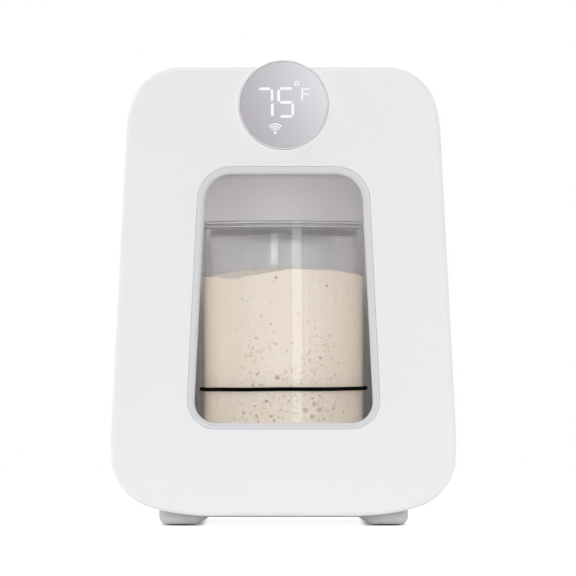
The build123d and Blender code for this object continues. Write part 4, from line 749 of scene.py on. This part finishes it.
def cross_screws(name, node, body, out, faces_at, length, countersunk):
    """Screws that face along out, each from the middle of its head's face in mm."""
    out = Vector(out)
    side = out.orthogonal().normalized()
    up = out.cross(side)
    if countersunk:
        skin = [(HEAD_R - 0.12, 0.0), (HEAD_R, 0.12), (SHAFT_R, HEAD_R - SHAFT_R), (SHAFT_R, length)]
    else:
        skin = [
            (HEAD_R - 0.7, 0.0), (HEAD_R - 0.25, 0.15), (HEAD_R, 0.55), (HEAD_R, HEAD_H),
            (SHAFT_R, HEAD_H), (SHAFT_R, length),
        ]
    steps = 48
    made_points, made_faces = [], []
    for face_at in faces_at:
        start = len(made_points)
        flat = []
        for r, down in skin:
            for k in range(steps):
                a = 2 * math.pi * k / steps
                flat.append((r * math.cos(a), r * math.sin(a), down))
        cross_start = len(flat)
        flat += [(p.x, p.y, 0.0) for p in cross_line]
        flat += [(p.x * 0.8, p.y * 0.8, CROSS_DEPTH) for p in cross_line]
        shapes = []
        for ring in range(len(skin) - 1):
            for k in range(steps):
                a, b = ring * steps + k, ring * steps + (k + 1) % steps
                shapes.append((a, a + steps, b + steps, b))
        shapes.append(tuple(reversed(range((len(skin) - 1) * steps, len(skin) * steps))))
        count = len(cross_line)
        for k in range(count):
            a, b = cross_start + k, cross_start + (k + 1) % count
            shapes.append((a, b, b + count, a + count))
        shapes.append(tuple(range(cross_start + count, cross_start + 2 * count)))
        rim = [Vector((*flat[k][:2], 0.0)) for k in range(steps)]
        hole = [Vector((*flat[cross_start + k][:2], 0.0)) for k in range(count)]
        places = list(range(steps)) + list(range(cross_start, cross_start + count))
        for a, b, c in tessellate_polygon([rim, hole]):
            a, b, c = places[a], places[b], places[c]
            first, second, third = (Vector(flat[k]) for k in (a, b, c))
            turned_left = (second - first).cross(third - first).z > 0
            shapes.append((a, b, c) if turned_left else (a, c, b))
        made_points += [(Vector(face_at) + side * x + up * y - out * down) * MM for x, y, down in flat]
        made_faces += [tuple(start + k for k in shape) for shape in shapes]
    made = piece(name, made_points, made_faces, zinc_steel)
    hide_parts(node)
    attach(made, body)


cross_screws("cover_cross_screws", "cover_screws", "base", (0, 1, 0), [
    (side * x, 75.0, z) for x, z in ((82.01, 242.0), (92.0, 50.0)) for side in (1, -1)
], 14.0, False)
cross_screws("plinth_cross_screws", "plinth_screws", "base", (0, 0, -1), [
    (side * 30.0, y, 5.3) for y in (-40.0, 29.0) for side in (1, -1)
], 6.5, True)
cross_screws("door_cross_screws", "door_screws", "door", (0, 1, 0), [
    (side * x, -80.0, z) for x, z in ((84.86, 245.0), (88.24, 180.0), (93.7, 75.0)) for side in (1, -1)
], 10.0, True)

# Lit figures of the dial: seven-bar digits, a degree ring, a letter and a signal sign, a hair proud of the
# lens
FIGURE_GAP, FIGURE_DEPTH = 0.06, 0.05
FIGURE_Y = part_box("dial_lens")[0].y / MM - FIGURE_GAP
BAR_WIDTH = 1.75
RING_STEPS = 40


def slab(name, outlines):
    """Thin lit shapes on the lens, each a closed outline of (across, up) points in mm from its centre."""
    made_points, made_faces = [], []
    for outline in outlines:
        start, count = len(made_points), len(outline)
        for y in (FIGURE_Y, FIGURE_Y + FIGURE_DEPTH):
            made_points.extend((x * MM, y * MM, (DIAL_Z + z) * MM) for x, z in outline)
        made_faces.append(tuple(start + k for k in range(count)))
        made_faces.append(tuple(start + count + k for k in reversed(range(count))))
        for k in range(count):
            n = (k + 1) % count
            made_faces.append((start + k, start + count + k, start + count + n, start + n))
    made = piece(name, made_points, made_faces, lit_figure, smooth=False)
    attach(made, "press")


def bar(x0, z0, x1, z1):
    """A digit's bar between two tips, each a blunted point."""
    on = Vector((x1 - x0, z1 - z0)).normalized()
    side = Vector((-on.y, on.x)) * (BAR_WIDTH / 2)
    outline = []
    for tip_at, way in ((Vector((x0, z0)), -1), (Vector((x1, z1)), 1)):
        shoulder = tip_at - on * way * BAR_WIDTH * 0.36
        near = tip_at - on * way * BAR_WIDTH * 0.06
        outline += [
            shoulder - side * way, near - side * way * 0.42,
            tip_at - side * way * 0.15, tip_at + side * way * 0.15,
            near + side * way * 0.42, shoulder + side * way,
        ]
    return [(p.x, p.y) for p in outline]


def ring_band(cx, cz, low, high, start_deg, end_deg):
    """A band of a ring, from start to end in degrees from straight right."""
    turns = [math.radians(start_deg + (end_deg - start_deg) * k / RING_STEPS) for k in range(RING_STEPS + 1)]
    outer = [(cx + high * math.cos(t), cz + high * math.sin(t)) for t in turns]
    inner = [(cx + low * math.cos(t), cz + low * math.sin(t)) for t in reversed(turns)]
    return outer + inner


slab("figure_seven", [
    bar(-15.4, 9.8, -8.0, 9.8), bar(-7.2, 9.4, -7.2, 2.1), bar(-7.0, 0.7, -7.0, -7.1),
])
slab("figure_five", [
    bar(-2.3, 10.0, 5.1, 10.0), bar(-3.1, 9.4, -3.1, 1.8), bar(-2.3, 1.4, 5.3, 1.4),
    bar(5.7, 0.8, 5.7, -6.8), bar(-2.1, -7.4, 5.3, -7.4),
])
slab("figure_degree", [ring_band(8.2, 13.2, 0.8, 1.62, start, start + 180) for start in (0, 180)])
slab("letter_f", [
    [(11.1, 10.2), (11.1, 2.4), (12.1, 2.4), (12.1, 10.2)],
    [(12.1, 10.2), (12.1, 9.25), (16.3, 9.25), (16.3, 10.2)],
    [(12.1, 6.9), (12.1, 5.95), (15.8, 5.95), (15.8, 6.9)],
])
SIGNAL_X, SIGNAL_Z = -5.2, -17.5
DOT_R, ARC_HALF, ARC_SPREAD = 0.96, 0.40, 46
signal_dot = [
    (SIGNAL_X + DOT_R * math.cos(math.radians(t)), SIGNAL_Z + DOT_R * math.sin(math.radians(t)))
    for t in range(0, 360, 12)
]
slab("signal_sign", [signal_dot] + [
    ring_band(SIGNAL_X, SIGNAL_Z, r - ARC_HALF, r + ARC_HALF, 90 - ARC_SPREAD, 90 + ARC_SPREAD)
    for r in (2.3, 3.8, 5.35)
])


# Floor, world, lamps and camera
FLOOR_HALF = 1.25
floor_mesh = bpy.data.meshes.new("studio_floor")
floor_mesh.from_pydata(
    [(x * FLOOR_HALF, y * FLOOR_HALF, 0.0) for x, y in ((-1, -1), (1, -1), (1, 1), (-1, 1))],
    [], [(0, 1, 2, 3)],
)
floor_mesh.materials.append(floor_sweep)
floor = bpy.data.objects.new("studio_floor", floor_mesh)
bpy.context.scene.collection.objects.link(floor)
floor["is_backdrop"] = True

ROOM_LIGHT = 0.20
ROOM_DARK = 0.0
world = bpy.data.worlds.new("studio")
bpy.context.scene.world = world
world.use_nodes = True
tree = world.node_tree
tree.nodes.clear()
rays = add(tree, "ShaderNodeLightPath")
# Mirrors and glass see a white room behind the product and a dark one in front, so panes stay clear
way = add(tree, "ShaderNodeTexCoord").outputs["Generated"]
ahead = add(tree, "ShaderNodeVectorMath", {"operation": "DOT_PRODUCT", 1: (0.0, -1.0, 0.0)}, {0: way})
mirror_level = add(
    tree, "ShaderNodeMapRange", {"From Min": 0.3, "From Max": 0.8, "To Min": 1.0, "To Max": ROOM_DARK},
    {"Value": ahead.outputs["Value"]},
)
lit_level = add(
    tree, "ShaderNodeMix", {3: ROOM_LIGHT}, {0: rays.outputs["Is Diffuse Ray"], 2: mirror_level.outputs[0]}
)
shown_level = add(
    tree, "ShaderNodeMix", {3: 1.0}, {0: rays.outputs["Is Camera Ray"], 2: lit_level.outputs[0]}
)
sky = add(
    tree, "ShaderNodeBackground", {"Color": (1.0, 1.0, 1.0, 1.0)}, {"Strength": shown_level.outputs[0]}
)
add(tree, "ShaderNodeOutputWorld", links={"Surface": sky.outputs[0]})


def soft_lamp(name, at, aim, width, height, watts, tint="FFFFFF", mirrored=True, lights=True):
    """A rectangular softbox at a place in metres that faces aim.

    It shows in mirrors when mirrored is set, and lights matt things when lights is set.
    """
    data = bpy.data.lights.new(name, "AREA")
    data.shape = "RECTANGLE"
    data.size, data.size_y = width, height
    data.energy = watts
    data.color = linear(tint)[:3]
    made = bpy.data.objects.new(name, data)
    made.location = at
    made.rotation_euler = (Vector(aim) - Vector(at)).to_track_quat("-Z", "Y").to_euler()
    made.visible_camera = False
    made.visible_glossy = mirrored
    made.visible_transmission = mirrored
    made.visible_diffuse = lights
    bpy.context.scene.collection.objects.link(made)
    return made


AIM = (0.0, 0.0, 0.15)
soft_lamp("front_fill", (-0.03, -3.3, 0.55), AIM, 2.2, 1.1, 46.3, "FEFEFF", mirrored=False)
soft_lamp("left_fill", (-3.3, 0.2, 0.9), AIM, 1.8, 1.6, 31.0, mirrored=False)
soft_lamp("right_fill", (3.3, 0.2, 0.9), AIM, 1.8, 1.6, 29.0, mirrored=False)
soft_lamp("back_fill", (0.0, 3.3, 0.9), AIM, 2.2, 1.6, 32.0, mirrored=False)
soft_lamp("top_softbox", (-0.1, -0.5, 2.4), AIM, 1.6, 1.6, 15.5)
soft_lamp("key_softbox", (-1.3, -1.7, 1.5), AIM, 1.2, 1.2, 5.0, "E4DFFF")
soft_lamp("strip_softbox", (0.56, -1.64, 0.16), (0.0, -0.02, 0.15), 0.40, 1.3, 5.0, lights=False)
# Two more mirror panels, which give the jar its short streak at the left and its fine line at the right
soft_lamp(
    "short_mirror_panel", (-0.377, -1.64, 0.1957), (0.0, -0.02, 0.175), 0.29, 0.0275, 0.085, lights=False
)
soft_lamp("fine_mirror_panel", (0.943, -1.50, 0.16), (0.0, -0.02, 0.15), 0.054, 1.3, 0.30, lights=False)

# The room's light as it leaves the window's inner face, so that the chamber is as bright as the outside.
# It swings away with the door, since the room then shines straight in
WINDOW_Y = -0.0742
window_light = soft_lamp(
    "window_light", (0.0, WINDOW_Y, 0.132), (0.0, 0.0, 0.132), 0.112, 0.176, 0.029, mirrored=False
)
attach(window_light, "door")
# A little light under the chamber's top edge, for the wall behind the lid
soft_lamp("lintel_light", (0.0, -0.062, 0.2225), (0.0, 0.034, 0.195), 0.100, 0.012, 0.027, mirrored=False)
# Light between the chamber's walls and the jar's sides, a touch warm
WALL_X = 0.0608
for side in (-1, 1):
    soft_lamp(
        "wall_light", (side * WALL_X, -0.045, 0.125), (0.0, -0.045, 0.125), 0.04, 0.15, 0.0105, "FFFAF4",
        mirrored=False,
    )
# A narrow light for the strip of chamber at the left of the jar
GAP_X = -0.0565
gap_light = soft_lamp(
    "gap_light", (GAP_X, WINDOW_Y, 0.140), (GAP_X, 0.03, 0.140), 0.009, 0.160, 0.006, mirrored=False
)
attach(gap_light, "door")

# Camera: one picture point is PIXEL wide on the front plane. The floor is FLOOR_ROW points below the top of
# the picture, and the object's middle is MIDDLE_SHIFT points left of the picture's
PIXEL = 0.6232 * MM
PICTURE_SIDE = 576
FLOOR_ROW = 527
MIDDLE_SHIFT = 4.4
FRONT_Y = -0.099
DISTANCE = 3.6
SENSOR = 36.0
camera_data = bpy.data.cameras.new("camera")
camera_data.sensor_width = SENSOR
camera_data.lens = DISTANCE * SENSOR / (PICTURE_SIDE * PIXEL)
camera_data.clip_end = 100.0
camera = bpy.data.objects.new("camera", camera_data)
camera.location = (0.0, FRONT_Y - DISTANCE, CAMERA_Z * MM)
look_at = Vector((MIDDLE_SHIFT * PIXEL, FRONT_Y, (FLOOR_ROW - PICTURE_SIDE / 2) * PIXEL))
camera.rotation_euler = (look_at - camera.location).to_track_quat("-Z", "Y").to_euler()
bpy.context.scene.collection.objects.link(camera)
bpy.context.scene.camera = camera

bpy.context.scene.view_settings.view_transform = "Standard"

low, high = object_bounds()
